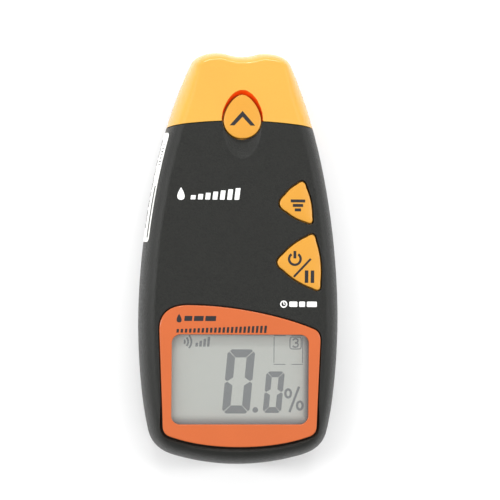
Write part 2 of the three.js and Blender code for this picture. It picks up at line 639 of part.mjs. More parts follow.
// ---------------------------------------------------------------- electronics
function mainBoard() {
  const edge = slab(offset(OUTLINE, -BOARD_EDGE), BOARD_Z, BOARD_TOP);
  const headEnd = HEAD_Y - BOARD_FROM_HEAD;
  const board = edge.intersect(box(-BODY_WIDTH, BODY_WIDTH, END_Y, headEnd, BOARD_Z - 1, BOARD_TOP + 1));
  const bossHoles = screwPlaces().map(({ x, y }) => (
    rod(BOSS_RADIUS + FIT_GAP, x, y, BOARD_Z - 1, BOARD_TOP + 1, 16)
  ));
  const slot = BOSS_RADIUS + FIT_GAP;
  const edgeCuts = screwPlaces().map(({ x, y }) => {
    const edge = Math.sign(x) * BODY_WIDTH;
    return box(Math.min(x, edge), Math.max(x, edge), y - slot, y + slot, BOARD_Z - 1, BOARD_TOP + 1);
  });
  const screwHoles = BOARD_SCREWS.map(({ x, y }) => (
    rod(BOARD_SCREW_RADIUS + FIT_GAP, x, y, BOARD_Z - 1, BOARD_TOP + 1, 10)
  ));
  return [...bossHoles, ...edgeCuts, ...screwHoles].reduce((solid, cut) => solid.subtract(cut), board);
}

function boardScrew({ x, y }) {
  const top = BOARD_Z - GLUE_GAP;
  return join(
    rod(BOARD_SCREW_HEAD_RADIUS, x, y, top - BOARD_SCREW_HEAD_HEIGHT, top, 14),
    rod(BOARD_SCREW_RADIUS, x, y, top - 0.1, top + BOARD_SCREW_LENGTH, 10),
  );
}

function lcdFrame() {
  const outer = aroundOpening(LCD_BORDER + FIT_GAP + LCD_FRAME_WALL, 1);
  const inner = aroundOpening(LCD_BORDER + FIT_GAP, 0.5);
  const z = BOARD_TOP + GLUE_GAP;
  const ring = slab(outer, z, z + LCD_RISE + LCD_THICKNESS / 2).subtract(slab(inner, z - 1, z + 9));
  return BODY_SCREWS.reduce((solid, { x, y }) => (
    solid.subtract(rod(BOSS_RADIUS + FIT_GAP, x, y, z - 1, z + 9, 16))
  ), ring);
}

function senseSpring() {
  const z0 = REAR_WALL + SENSE_PLATE_THICKNESS + 2 * GLUE_GAP + SENSE_SPRING_WIRE / 2 + 0.1;
  const z1 = BOARD_Z - GLUE_GAP - SENSE_SPRING_WIRE / 2 - 0.1;
  const stepsPerTurn = 10;
  const count = SENSE_SPRING_TURNS * stepsPerTurn;
  const points = [];
  for (let i = 0; i <= count; i += 1) {
    const angle = (i / stepsPerTurn) * Math.PI * 2;
    points.push(new THREE.Vector3(
      Math.cos(angle) * SENSE_SPRING_RADIUS,
      SENSOR_PAD_Y + Math.sin(angle) * SENSE_SPRING_RADIUS,
      z0 + ((z1 - z0) * i) / count,
    ));
  }
  return tube(points, SENSE_SPRING_WIRE / 2, count, 6);
}

function tube(points, radius, steps, sides) {
  const section = new THREE.Shape();
  for (let i = 0; i < sides; i += 1) {
    const angle = (i / sides) * Math.PI * 2;
    const corner = [Math.cos(angle) * radius, Math.sin(angle) * radius];
    if (i === 0) section.moveTo(...corner);
    else section.lineTo(...corner);
  }
  return solidOf(new THREE.ExtrudeGeometry(section, {
    steps,
    extrudePath: new THREE.CatmullRomCurve3(points),
    bevelEnabled: false,
  }));
}

function batteryLead(side) {
  const z = BATTERY_Z + BATTERY_THICKNESS / 2;
  const x = side * 1.2;
  const y = CLIP_Y + CLIP_LENGTH + GLUE_GAP;
  const wall = COMPARTMENT_END_Y + COMPARTMENT_WALL;
  return tube([
    new THREE.Vector3(x, y, z),
    new THREE.Vector3(x, wall, z),
    new THREE.Vector3(side * 2, wall + 4, z),
    new THREE.Vector3(side * 5, wall + 9, z - 2),
    new THREE.Vector3(side * 9, wall + 11, z + 2),
    new THREE.Vector3(side * 8, wall + 10, BOARD_Z - 3),
    new THREE.Vector3(side * 8, wall + 10, BOARD_Z - FIT_GAP),
  ], LEAD_DIAMETER / 2, 26, 8);
}

function batteryTerminals() {
  const z = BATTERY_Z + BATTERY_THICKNESS / 2;
  const y0 = BATTERY_HEAD_Y + GLUE_GAP;
  const y1 = BATTERY_HEAD_Y + TERMINAL_HEIGHT;
  const half = TERMINAL_SPACING / 2;
  const socket = rodAlongY(NEGATIVE_TERMINAL_RADIUS, half, z, y0, y1, 6);
  return {
    positive: rodAlongY(POSITIVE_TERMINAL_RADIUS, -half, z, y0, y1, 18),
    negative: socket.subtract(rodAlongY(POSITIVE_TERMINAL_RADIUS, half, z, y0 + 0.4, y1 + 1, 18)),
  };
}

function batteryClip() {
  const z = BATTERY_Z + BATTERY_THICKNESS / 2;
  const half = TERMINAL_SPACING / 2;
  const width = BATTERY_WIDTH / 2 - 0.5;
  const depth = CLIP_HEIGHT / 2;
  const y1 = CLIP_Y + CLIP_LENGTH;
  const pocketEnd = BATTERY_HEAD_Y + TERMINAL_HEIGHT + FIT_GAP;
  return box(-width, width, CLIP_Y, y1, z - depth, z + depth)
    .subtract(rodAlongY(POSITIVE_TERMINAL_RADIUS + FIT_GAP, -half, z, CLIP_Y - 1, pocketEnd, 18))
    .subtract(rodAlongY(NEGATIVE_TERMINAL_RADIUS + FIT_GAP, half, z, CLIP_Y - 1, pocketEnd, 18));
}

// A sticker wrapped on the left side wall.
function sideLabel() {
  const grown = LABEL_GLUE + LABEL_THICKNESS;
  const skin = frontForm(-grown, FACE_HEIGHT + grown, REAR_SHELL_DEPTH + PARTING_GAP);
  const bare = frontForm(-LABEL_GLUE, FACE_HEIGHT + LABEL_GLUE, REAR_SHELL_DEPTH);
  const y1 = HEAD_Y - LABEL_FROM_HEAD;
  const z0 = REAR_SHELL_DEPTH + PARTING_GAP + 1;
  return skin.subtract(bare).intersect(
    box(-BODY_WIDTH, 0, y1 - LABEL_LENGTH, y1, z0, z0 + LABEL_HEIGHT),
  );
}

// ---------------------------------------------------------------- the scene graph
const FINISHES = {
  black_shell: { color: 0x373833, roughness: 0.72, metalness: 0 },
  nose: { color: 0xfac064, roughness: 0.5, metalness: 0 },
  key: { color: 0xeeab50, roughness: 0.5, metalness: 0 },
  bezel: { color: 0xe2814a, roughness: 0.55, metalness: 0 },
  clear: { color: 0xdfe6e6, roughness: 0.08, metalness: 0 },
  display: { color: 0xb7b8b3, roughness: 0.2, metalness: 0 },
  label: { color: 0xf0f0ec, roughness: 0.45, metalness: 0 },
  steel: { color: 0xb4b6b8, roughness: 0.35, metalness: 1 },
  board: { color: 0x1f5b3a, roughness: 0.45, metalness: 0 },
  rubber: { color: 0x26272a, roughness: 0.85, metalness: 0 },
  component: { color: 0x1c1c1e, roughness: 0.5, metalness: 0 },
  battery: { color: 0x2f3336, roughness: 0.4, metalness: 0 },
  red_wire: { color: 0xb3241d, roughness: 0.45, metalness: 0 },
};
const MATERIALS = Object.fromEntries(
  Object.entries(FINISHES).map(([name, finish]) => (
    [name, new THREE.MeshStandardMaterial({ name, ...finish })]
  )),
);

const meter = new THREE.Group();
meter.name = "moisture_meter";

function place(name, finish, solid) {
  const { vertProperties, triVerts, numProp } = solid.getMesh();
  const positions = new Float32Array((vertProperties.length / numProp) * 3);
  for (let i = 0; i < positions.length / 3; i += 1) {
    positions.set(vertProperties.subarray(i * numProp, i * numProp + 3), i * 3);
  }
  const geometry = new THREE.BufferGeometry();
  geometry.setAttribute("position", new THREE.BufferAttribute(positions, 3));
  geometry.setIndex(new THREE.BufferAttribute(triVerts, 1));
  geometry.computeVertexNormals();
  const mesh = new THREE.Mesh(geometry, MATERIALS[finish]);
  mesh.name = name;
  meter.add(mesh);
}

place("front_shell", "black_shell", frontShell());
place("rear_shell", "black_shell", rearShell());
place("nose_cap", "nose", noseCap());
place("side_label", "label", sideLabel());
screwPlaces().forEach((screw, i) => place(`shell_screw_${i + 1}`, "steel", shellScrew(screw)));

place("display_bezel", "bezel", displayBezel());
place("display_window", "clear", slab(
  aroundOpening(WINDOW_LAP, 1.8), POCKET_FLOOR - WINDOW_THICKNESS, POCKET_FLOOR,
));
place("lcd_panel", "display", slab(aroundOpening(LCD_BORDER, 0.4), LCD_Z, LCD_Z + LCD_THICKNESS));
place("lcd_frame", "component", lcdFrame());
place("lcd_connector", "rubber", box(
  -WINDOW_OPENING_HALF_WIDTH, WINDOW_OPENING_HALF_WIDTH, OPENING_FOOT_Y - 1.3, OPENING_FOOT_Y + 0.8,
  BOARD_TOP + GLUE_GAP, LCD_Z - GLUE_GAP,
));

for (const key of KEYS) {
  place(`${key.name}_button`, "key", keyCap(key));
  place(`${key.name}_switch_plunger`, "component", rod(
    PLUNGER_RADIUS, key.x, key.y, PLUNGER_Z, FLANGE_Z - GLUE_GAP, 14,
  ));
  place(`${key.name}_switch_body`, "steel", switchBody(key));
}

place("main_board", "board", mainBoard());
BOARD_SCREWS.forEach((screw, i) => place(`board_screw_${i + 1}`, "steel", boardScrew(screw)));
place("controller_chip", "component", boxAt(
  CHIP.x, HEAD_Y - CHIP.fromHead, CHIP.size, CHIP.size,
  BOARD_TOP + GLUE_GAP, BOARD_TOP + GLUE_GAP + CHIP.height,
));
place("capacitor", "component", rod(
  CAPACITOR.radius, CAPACITOR.x, HEAD_Y - CAPACITOR.fromHead,
  BOARD_Z - GLUE_GAP - CAPACITOR.height, BOARD_Z - GLUE_GAP, 16,
));
place("crystal", "steel", boxAt(
  CRYSTAL.x, HEAD_Y - CRYSTAL.fromHead, CRYSTAL.length, CRYSTAL.width,
  BOARD_Z - GLUE_GAP - CRYSTAL.height, BOARD_Z - GLUE_GAP,
));

place("sensor_pad", "rubber", slab(
  roundedBox(
    SENSOR_PAD_WIDTH / 2, SENSOR_PAD_Y - SENSOR_PAD_LENGTH / 2,
    SENSOR_PAD_Y + SENSOR_PAD_LENGTH / 2, 3.7, 4,
  ),
  0, SENSOR_PAD_THICKNESS,
));
place("sense_plate", "steel", slab(
  roundedBox(
    SENSOR_PAD_WIDTH / 2 - SENSE_PLATE_MARGIN, SENSOR_PAD_Y - SENSOR_PAD_LENGTH / 2 + SENSE_PLATE_MARGIN,
    SENSOR_PAD_Y + SENSOR_PAD_LENGTH / 2 - SENSE_PLATE_MARGIN, 2, 3,
  ),
  REAR_WALL + GLUE_GAP, REAR_WALL + GLUE_GAP + SENSE_PLATE_THICKNESS,
));
place("sense_spring", "steel", senseSpring());

place("battery", "battery", slab(
  roundedBox(BATTERY_WIDTH / 2, BATTERY_Y, BATTERY_HEAD_Y, 1.5, 3), BATTERY_Z, BATTERY_TOP, 1, 1, 2,
));
const terminals = batteryTerminals();
place("battery_positive_terminal", "steel", terminals.positive);
place("battery_negative_terminal", "steel", terminals.negative);
place("battery_clip", "rubber", batteryClip());
place("red_lead", "red_wire", batteryLead(-1));
place("black_lead", "rubber", batteryLead(1));
place("battery_door", "black_shell", batteryDoor());
place("battery_foam", "rubber", boxAt(
  0, (BATTERY_Y + BATTERY_HEAD_Y) / 2, FOAM_WIDTH, FOAM_LENGTH, FOAM_Z, FOAM_Z + FOAM_THICKNESS,
));

export default meter;
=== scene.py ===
"""Hand-held pinless moisture meter: the visible pieces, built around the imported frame."""

import math

import bmesh
import bpy
import numpy as np
from mathutils import Matrix, Vector
from mathutils.bvhtree import BVHTree


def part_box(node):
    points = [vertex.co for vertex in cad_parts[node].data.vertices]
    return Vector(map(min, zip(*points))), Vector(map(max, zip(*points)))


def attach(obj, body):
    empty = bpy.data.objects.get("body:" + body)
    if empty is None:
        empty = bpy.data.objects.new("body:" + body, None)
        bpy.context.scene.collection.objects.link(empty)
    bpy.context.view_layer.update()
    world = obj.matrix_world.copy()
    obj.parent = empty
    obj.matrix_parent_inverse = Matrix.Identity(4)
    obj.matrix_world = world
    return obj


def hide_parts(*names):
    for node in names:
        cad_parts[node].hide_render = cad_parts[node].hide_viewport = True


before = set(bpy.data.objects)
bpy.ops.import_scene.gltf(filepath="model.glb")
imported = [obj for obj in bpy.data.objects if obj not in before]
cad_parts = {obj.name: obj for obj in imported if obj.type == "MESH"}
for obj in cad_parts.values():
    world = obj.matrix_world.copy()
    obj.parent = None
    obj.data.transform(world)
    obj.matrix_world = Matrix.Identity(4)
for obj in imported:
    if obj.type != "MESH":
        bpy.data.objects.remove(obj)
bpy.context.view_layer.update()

bl_info = {
    "name": "Moisture Meter",
    "version": (1, 0, 0),
    "blender": (4, 5, 0),
    "location": "View3D > Sidebar > Meter",
    "description": "Builds a pinless moisture meter around its packed frame",
    "category": "Object",
}

MM = 0.001  # every shape is drawn in millimetres and stored in metres


def extent(node):
    """Lowest and highest corner of a CAD node, in millimetres."""
    low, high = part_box(node)
    return np.array(low) / MM, np.array(high) / MM


# ------------------------------------------------------------------ places taken from the frame
FRONT_LOW, FRONT_HIGH = extent("front_shell")
REAR_LOW, REAR_HIGH = extent("rear_shell")
CAP_LOW, CAP_HIGH = extent("nose_cap")
BEZEL_LOW, BEZEL_HIGH = extent("display_bezel")
WINDOW_LOW, WINDOW_HIGH = extent("display_window")
LCD_LOW, LCD_HIGH = extent("lcd_panel")
DOOR_LOW, DOOR_HIGH = extent("battery_door")
PAD_LOW, PAD_HIGH = extent("sensor_pad")
LABEL_LOW, LABEL_HIGH = extent("side_label")
FOAM_LOW, FOAM_HIGH = extent("battery_foam")
BATTERY_LOW, BATTERY_HIGH = extent("battery")
CLIP_LOW, CLIP_HIGH = extent("battery_clip")
BOARD_LOW, BOARD_HIGH = extent("main_board")

HALF_WIDTH = FRONT_HIGH[0]
END_Y = FRONT_LOW[1]
HEAD_Y = CAP_HIGH[1]
FACE_Z = FRONT_HIGH[2]
FRONT_Z = FRONT_LOW[2]
PARTING_Z = FRONT_LOW[2]
CAP_Z = CAP_LOW[2]
POCKET_Z = WINDOW_HIGH[2]
INNER_FACE_Z = WINDOW_LOW[2]

# ------------------------------------------------------------------ the camera
CAMERA_AIM = (3.8, 3.0, 18.0)
CAMERA_DISTANCE = 600.0
CAMERA_SPAN = 171.0  # width of the view at the aim, in millimetres
CAMERA_LEAN = 4.5  # degrees to the left of straight above
CAMERA_ROLL = 0.45
WALL_LIGHT = 0.9  # brightness of the studio's pale walls

# ------------------------------------------------------------------ the body's form
SHELL_WALL = 2.0
REAR_WALL = 2.2
FRONT_EDGE_INSET = 5.5
FRONT_EDGE_DEPTH = 12.0
REAR_EDGE_ROUNDING = 5.0
CORNER_STATION = 11.5
CORNER_INSET = 3.5
WIDEST_STATION = 49.0
HEAD_STATION = 4.0
HEAD_HALF_WIDTH = 17.0
HEAD_BUMP_X = 8.0
HEAD_DIP = 1.2
END_ARC_INSET = 13.0
END_ARC_RISE = 2.9
SIDE_LEAN = 2.5
CORNER_FULLNESS = 5.1
SEAM_Y = HEAD_Y - 23.7
SEAM_DROP = 3.8
SEAM_GAP = 0.3
BEZEL_TAPER = 1.4
BEZEL_FOOT_RISE = 5.2
BEZEL_RIGHT_TOP = 46.5
OPENING_HALF_WIDTH = 23.05
OPENING_HEIGHT = 30.2
OPENING_FOOT_Y = END_Y + 14.4
OPENING_CORNER = 2.9
KEY_LIP = 0.9
KEY_FLANGE = 0.8
SCOOP_DEPTH = 1.4
SCOOP_REACH = 7.0
SCOOP_HALF_WIDTH = 6.6
SCOOP_BALL_HEIGHT = 8.0
SCREW_RADIUS = 2.5
SCREW_BORE = 2.8
SCREW_SEAT = 4.0
SCREW_HEAD_HEIGHT = 1.8
SCREW_SHAFT_RADIUS = 1.3
SCREW_LENGTH = 13.0
BOSS_RADIUS = 2.7
FAR = 80.0  # beyond the case in any direction


def linear(colour):
    """An sRGB hex colour as linear red, green, blue and alpha."""
    digits = colour.lstrip("#")
    shares = [int(digits[i : i + 2], 16) / 255 for i in (0, 2, 4)]
    bent = [c / 12.92 if c <= 0.04045 else ((c + 0.055) / 1.055) ** 2.4 for c in shares]
    return (*bent, 1.0)


def length(name, description, default):
    """Settings of a length property whose default is given in millimetres."""
    return {
        "name": name,
        "description": description,
        "default": default * MM,
        "min": 0.0,
        "precision": 5,
        "unit": "LENGTH",
        "subtype": "DISTANCE",
    }


def tint(name, description, default):
    """Settings of a colour property whose default is an sRGB hex value."""
    return {
        "name": name,
        "description": description,
        "default": linear(default),
        "size": 4,
        "min": 0.0,
        "max": 1.0,
        "subtype": "COLOR",
    }


class MeterSizes(bpy.types.PropertyGroup):
    """Sizes of the visible details."""

    lip_rounding: bpy.props.FloatProperty(
        **length("Lip rounding", "Rounding of the case's edge around the keys", 0.3)
    )
    parting_chamfer: bpy.props.FloatProperty(
        **length("Parting chamfer", "Chamfer where the two halves of the case meet", 0.3)
    )
    key_edge: bpy.props.FloatProperty(
        **length("Key edge", "Rounding of each key's upper edge", 0.32)
    )
    key_crown: bpy.props.FloatProperty(
        **length("Key crown", "How much each key is higher in its middle", 0.24)
    )
    bezel_edge: bpy.props.FloatProperty(
        **length("Bezel edge", "Rounding of the display bezel's edges", 0.4)
    )
    bezel_step: bpy.props.FloatProperty(
        **length("Bezel step", "Width of the sloping step below the bezel", 0.95)
    )
    recess_slope: bpy.props.FloatProperty(
        **length("Recess slope", "Width of the up key's sloping recess at its top", 1.3)
    )
    ink_thickness: bpy.props.FloatProperty(
        **length("Ink thickness", "How far the printed marks stand proud", 0.02)
    )
    sand_grain: bpy.props.FloatProperty(
        **length("Sand grain", "Spacing of the moulded sand texture", 0.55)
    )
    label_corner: bpy.props.FloatProperty(
        **length("Label corner", "Corner radius of the side label", 1.5)
    )


class MeterColours(bpy.types.PropertyGroup):
    """Colours of the mouldings, prints and display."""

    case: bpy.props.FloatVectorProperty(
        **tint("Case", "Sand-textured ABS of the two case halves", "#12130F")
    )
    cap: bpy.props.FloatVectorProperty(
        **tint("Head cap", "Satin ABS of the head cap", "#D6A241")
    )
    # painted shade: the up key's recess wall is the cap's own moulding, and this deeper red-orange stands for the
    # shade in the recess
    recess: bpy.props.FloatVectorProperty(
        **tint("Recess", "Sloping wall around the up key", "#F8500A")
    )
    key: bpy.props.FloatVectorProperty(
        **tint("Keys", "Satin ABS of the keys", "#D1932C")
    )
    bezel: bpy.props.FloatVectorProperty(
        **tint("Bezel", "Satin ABS of the display bezel", "#C25E28")
    )
    glass: bpy.props.FloatVectorProperty(
        **tint("Display", "Reflective liquid crystal glass", "#94958F")
    )
    segment: bpy.props.FloatVectorProperty(
        **tint("Segments", "Switched segments of the display", "#26262F")
    )
    dark_ink: bpy.props.FloatVectorProperty(
        **tint("Dark ink", "Pad-printed dark ink", "#151318")
    )
    white_ink: bpy.props.FloatVectorProperty(
        **tint("White ink", "Pad-printed white ink", "#F4F4F2")
    )


# ------------------------------------------------------------------ outlines
def unit(vectors):
    """Each row scaled to length 1."""
    return vectors / np.linalg.norm(vectors, axis=1, keepdims=True)


def path(start, *segments, steps=14):
    """Points along joined lines and Bezier curves; a segment lists its handles and its end."""
    points = [np.array(start, float)]
    for segment in segments:
        count = steps if len(segment) > 1 else 4
        share = np.linspace(0, 1, count + 1)[1:, None]
        layers = [np.repeat([p], count, 0) for p in (points[-1], *np.array(segment, float))]
        while len(layers) > 1:
            layers = [a + (b - a) * share for a, b in zip(layers, layers[1:])]
        points.extend(layers[0])
    closed = np.linalg.norm(points[0] - points[-1]) < 1e-6
    return np.array(points[:-1] if closed else points)


def offset(outline, distance):
    """A counter-clockwise outline grown by a distance, or by one distance for each point."""
    first = outline - np.roll(outline, 1, 0)
    second = np.roll(outline, -1, 0) - outline
    first, second = (unit(np.column_stack([d[:, 1], -d[:, 0]])) for d in (first, second))
    middle = unit(first + second)
    reach = np.broadcast_to(distance, len(outline)) / (middle * second).sum(1)
    return outline + middle * reach[:, None]


def mirrored(right):
    """A right half from the foot to the head, closed by its mirror image."""
    return np.vstack([right, (right * [-1, 1])[::-1][1:-1]])


def case_outline():
    """Plan outline of the whole body, counter-clockwise from the middle of the foot."""
    arc = np.array([HALF_WIDTH - END_ARC_INSET, END_Y + END_ARC_RISE])
    corner = np.array([HALF_WIDTH - CORNER_INSET, END_Y + CORNER_STATION])
    widest = END_Y + WIDEST_STATION
    head = HEAD_Y - HEAD_STATION
    lower, upper = widest - corner[1], head - widest
    end_slope, side_slope = unit(np.array([[arc[0], 2 * END_ARC_RISE], [SIDE_LEAN, lower * 0.28]]))
    right = path(
        (0, END_Y),
        [(arc[0] / 2, END_Y), arc],
        [arc + end_slope * CORNER_FULLNESS, corner - side_slope * CORNER_FULLNESS, corner],
        [
            corner + [SIDE_LEAN, lower * 0.28],
            (HALF_WIDTH, widest - lower * 0.3),
            (HALF_WIDTH, widest),
        ],
        [
            (HALF_WIDTH, widest + upper * 0.21),
            (HEAD_HALF_WIDTH + upper * 0.16, head - upper * 0.344),
            (HEAD_HALF_WIDTH, head),
        ],
        [(HEAD_HALF_WIDTH - 1.3, HEAD_Y - 1.2), (HEAD_BUMP_X + 4, HEAD_Y), (HEAD_BUMP_X, HEAD_Y)],
        [
            (HEAD_BUMP_X * 0.6, HEAD_Y),
            (HEAD_BUMP_X * 0.5, HEAD_Y - HEAD_DIP),
            (0, HEAD_Y - HEAD_DIP),
        ],
        steps=20,
    )
    return mirrored(right)


def bezel_outline():
    """Plan outline of the display bezel: a level foot arc and a top that slopes to the right."""
    foot, left_top = BEZEL_LOW[1], BEZEL_HIGH[1]
    wide = -BEZEL_LOW[0]
    corner = foot + BEZEL_FOOT_RISE
    right_top = END_Y + BEZEL_RIGHT_TOP
    foot_x = wide - BEZEL_TAPER
    return path(
        (0, foot),
        [(foot_x * 0.52, foot), (foot_x - 2.6, corner - 1.7)],
        [(foot_x - 0.1, corner - 0.9), (foot_x, corner + 1.8)],
        [(wide - 0.3, right_top - 4)],
        [(wide - 0.3, right_top - 1), (wide - 2.5, right_top)],
        [(wide * 0.54, right_top + 4.2), (-wide * 0.07, left_top), (-wide * 0.64, left_top)],
        [(-wide * 0.88, left_top), (-wide, left_top - 2.9), (-wide, left_top - 8.4)],
        [(-foot_x, corner + 1.8)],
        [(0.1 - foot_x, corner - 0.9), (2.6 - foot_x, corner - 1.7)],
        [(-foot_x * 0.52, foot), (0, foot)],
    )


def triangle_outline(corners, roundings):
    """A rounded triangle whose sides bow outwards a little."""
    points = np.array(corners, float)
    arrive, leave = [], []
    for i, rounding in enumerate(roundings):
        for other, places in ((points[i - 1], arrive), (points[(i + 1) % 3], leave)):
            away = other - points[i]
            places.append(points[i] + away * rounding / np.linalg.norm(away))
    segments = []
    for i in range(3):
        after = (i + 1) % 3
        along = arrive[after] - leave[i]
        bow = (leave[i] + arrive[after]) / 2 + np.array([along[1], -along[0]]) * 0.11
        segments += [[points[i], leave[i]], [bow, arrive[after]]]
    return path(arrive[0], *segments, steps=12)


def egg_outline(half_width, height):
    """An egg with its narrow end towards the head and its foot at the origin."""
    widest = height * 0.4
    right = path(
        (0, 0),
        [(half_width * 0.62, 0), (half_width, widest - height * 0.2), (half_width, widest)],
        [(half_width, widest + height * 0.25), (half_width * 0.45, height), (0, height)],
        steps=24,
    )
    return mirrored(right)


def placed(outline, node, lip):
    """The outline moved so that, with its lip, it fills a CAD node's box in plan."""
    low, high = extent(node)
    grown = offset(outline, lip)
    return outline + ((low + high)[:2] - grown.min(0) - grown.max(0)) / 2


def rounded_rectangle(x0, x1, y0, y1, radius, steps=8):
    """A counter-clockwise rectangle with rounded corners."""
    centres = (
        (x1 - radius, y0 + radius),
        (x1 - radius, y1 - radius),
        (x0 + radius, y1 - radius),
        (x0 + radius, y0 + radius),
    )
    points = []
    for quarter, (x, y) in enumerate(centres):
        for angle in np.linspace(quarter - 1, quarter, steps + 1) * math.pi / 2:
            points.append((x + radius * math.cos(angle), y + radius * math.sin(angle)))
    return np.array(points)


def circle(x, y, radius, steps=32):
    """A counter-clockwise circle."""
    angles = np.linspace(0, 2 * math.pi, steps, endpoint=False)
    return np.column_stack([x + radius * np.cos(angles), y + radius * np.sin(angles)])


CASE = case_outline()
BEZEL = bezel_outline()
KEYS = {
    "up": placed(egg_outline(6.25, 14.6), "up_button", KEY_LIP),
    "mode": placed(
        triangle_outline([(1.6, 8.2), (-8.6, -0.8), (5.0, -7.8)], (3.2, 5.0, 3.2)),
        "mode_button",
        KEY_LIP,
    ),
    "power": placed(
        triangle_outline([(3.5, 10.5), (-10.9, -0.3), (5.8, -10.4)], (3.4, 4.6, 3.4)),
        "power_button",
        KEY_LIP,
    ),
}
KEY_GAPS = {"up": 0.4, "mode": 0.5, "power": 0.5}
SHELL_SCREWS = {
    f"shell_screw_{i}": (sum(extent(f"shell_screw_{i}")) / 2)[:2] for i in range(1, 7)
}


# ------------------------------------------------------------------ meshes
def ring(outline, z):
    """The outline at a height."""
    return np.column_stack([outline, np.full(len(outline), z)])


def loft(rings):
    """A closed skin over rings of equal count, from the lowest to the highest."""
    count = len(rings[0])
    faces = []
    for level in range(len(rings) - 1):
        low, high = level * count, (level + 1) * count
        for i in range(count):
            j = (i + 1) % count
            faces.append((low + i, low + j, high + j, high + i))
    faces.append(tuple(range(count))[::-1])
    faces.append(tuple(range((len(rings) - 1) * count, len(rings) * count)))
    return np.vstack(rings), faces


def form(name, shape):
    """An object from points in millimetres and faces."""
    points, faces = shape
    mesh = bpy.data.meshes.new(name)
    mesh.from_pydata((np.array(points, float) * MM).tolist(), [], faces)
    obj = bpy.data.objects.new(name, mesh)
    bpy.context.scene.collection.objects.link(obj)
    return obj


def prism(outline, z0, z1):
    """A plain closed prism."""
    return loft([ring(outline, z0), ring(outline, z1)])


def block(x0, x1, y0, y1, z0, z1, corner=0.0):
    """A block, with its upright edges rounded where a corner is given."""
    if corner:
        return prism(rounded_rectangle(x0, x1, y0, y1, corner), z0, z1)
    return prism(np.array([(x0, y0), (x1, y0), (x1, y1), (x0, y1)], float), z0, z1)


def rod(place, radius, z0, z1, steps=40):
    """A closed cylinder along Z."""
    return prism(circle(place[0], place[1], radius, steps), z0, z1)


def lathe(place, profile, steps=48):
    """A closed turned solid from (radius, height) pairs."""
    return loft([ring(circle(place[0], place[1], max(r, 0.01), steps), z) for r, z in profile])


def flared(outline, gap, z0, edge_z, rounding, steps=6):
    """A cutter for a hole with a rounded upper edge at edge_z."""
    turns = np.linspace(0, math.pi / 2, steps + 1)
    rings = [ring(offset(outline, gap), z0)]
    for turn in turns:
        grown = gap + rounding * (1 - math.cos(turn))
        rings.append(ring(offset(outline, grown), edge_z - rounding * (1 - math.sin(turn))))
    rings.append(ring(offset(outline, gap + rounding), edge_z + 3))
    return loft(rings)


def dished(outline, gap, z1, edge_z, rounding, steps=5):
    """The same for a hole that opens downwards."""
    points, faces = flared(outline, gap, -z1, -edge_z, rounding, steps)
    return points * [1, 1, -1], [face[::-1] for face in faces]


def bulk(mesh):
    """A mesh's count of vertices and the sum of its face areas."""
    return len(mesh.vertices), round(sum(face.area for face in mesh.polygons) / MM**2, 3)


def carve(target, shapes, operation="DIFFERENCE"):
    """Adds or takes away closed shapes, one after another."""
    for number, shape in enumerate(shapes):
        before = bulk(target.data)
        tool = form(f"tool_{number}", shape)
        change = target.modifiers.new("carve", "BOOLEAN")
        change.operation = operation
        change.solver = "MANIFOLD"
        change.object = tool
        bpy.context.view_layer.update()
        evaluated = target.evaluated_get(bpy.context.evaluated_depsgraph_get())
        mesh = bpy.data.meshes.new_from_object(evaluated)
        old = target.data
        target.modifiers.clear()
        target.data = mesh
        bpy.data.meshes.remove(old)
        used = tool.data
        bpy.data.objects.remove(tool)
        bpy.data.meshes.remove(used)
        idle = bulk(mesh) == before and operation != "INTERSECT"
        if idle or not mesh.vertices:
            raise RuntimeError(f"{target.name}: {operation} {number} failed")
    return target


def common(first, second):
    """What two closed shapes share, as a shape."""
    obj = carve(form("common", first), [second], "INTERSECT")
    points = np.array([v.co for v in obj.data.vertices]) / MM
    faces = [tuple(face.vertices) for face in obj.data.polygons]
    mesh = obj.data
    bpy.data.objects.remove(obj)
    bpy.data.meshes.remove(mesh)
    return points, faces


def smooth(obj, sharp_angle=30.0):
    """Smooth shading that keeps edges sharper than an angle, and level faces level."""
    mesh = bmesh.new()
    mesh.from_mesh(obj.data)
    bmesh.ops.remove_doubles(mesh, verts=mesh.verts, dist=2e-7)
    bmesh.ops.dissolve_degenerate(mesh, dist=1e-7, edges=mesh.edges)
    bmesh.ops.recalc_face_normals(mesh, faces=mesh.faces)
    limit = math.radians(sharp_angle)
    for face in mesh.faces:
        face.smooth = True
    for edge in mesh.edges:
        edge.smooth = len(edge.link_faces) == 2 and edge.calc_face_angle() < limit
    mesh.to_mesh(obj.data)
    mesh.free()
    levelled = obj.modifiers.new("level normals", "WEIGHTED_NORMAL")
    levelled.keep_sharp = True
    return obj


def finish_piece(obj, body, slot, nodes, *materials):
    """Gives a piece its materials and its body and hides the CAD nodes that it stands for; the slot is not used."""
    obj.data.materials.clear()
    for material in materials:
        obj.data.materials.append(material)
    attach(obj, body)
    if nodes:
        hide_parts(*nodes)
    return obj


def inside(points, outline):
    """Which points in plan lie inside an outline."""
    x, y = points[:, 0:1], points[:, 1:2]
    x0, y0 = outline[:, 0], outline[:, 1]
    x1, y1 = np.roll(x0, -1), np.roll(y0, -1)
    rise = np.where(y1 == y0, 1e-9, y1 - y0)
    crosses = ((y0 > y) != (y1 > y)) & (x < (x1 - x0) * (y - y0) / rise + x0)
    return crosses.sum(1) % 2 == 1


# ------------------------------------------------------------------ flat marks
def blob(outline):
    """A filled mark."""
    return [tuple(p) for p in outline], [tuple(range(len(outline)))]


def bar(x0, x1, y0, y1, slant=0.0, corner=0.12):
    """A bar with slightly rounded corners, leaning by a slant."""
    points = rounded_rectangle(x0, x1, y0, y1, min(corner, (x1 - x0) / 2.1, (y1 - y0) / 2.1), 3)
    points[:, 0] += (points[:, 1] - y0) * slant
    return blob(points)


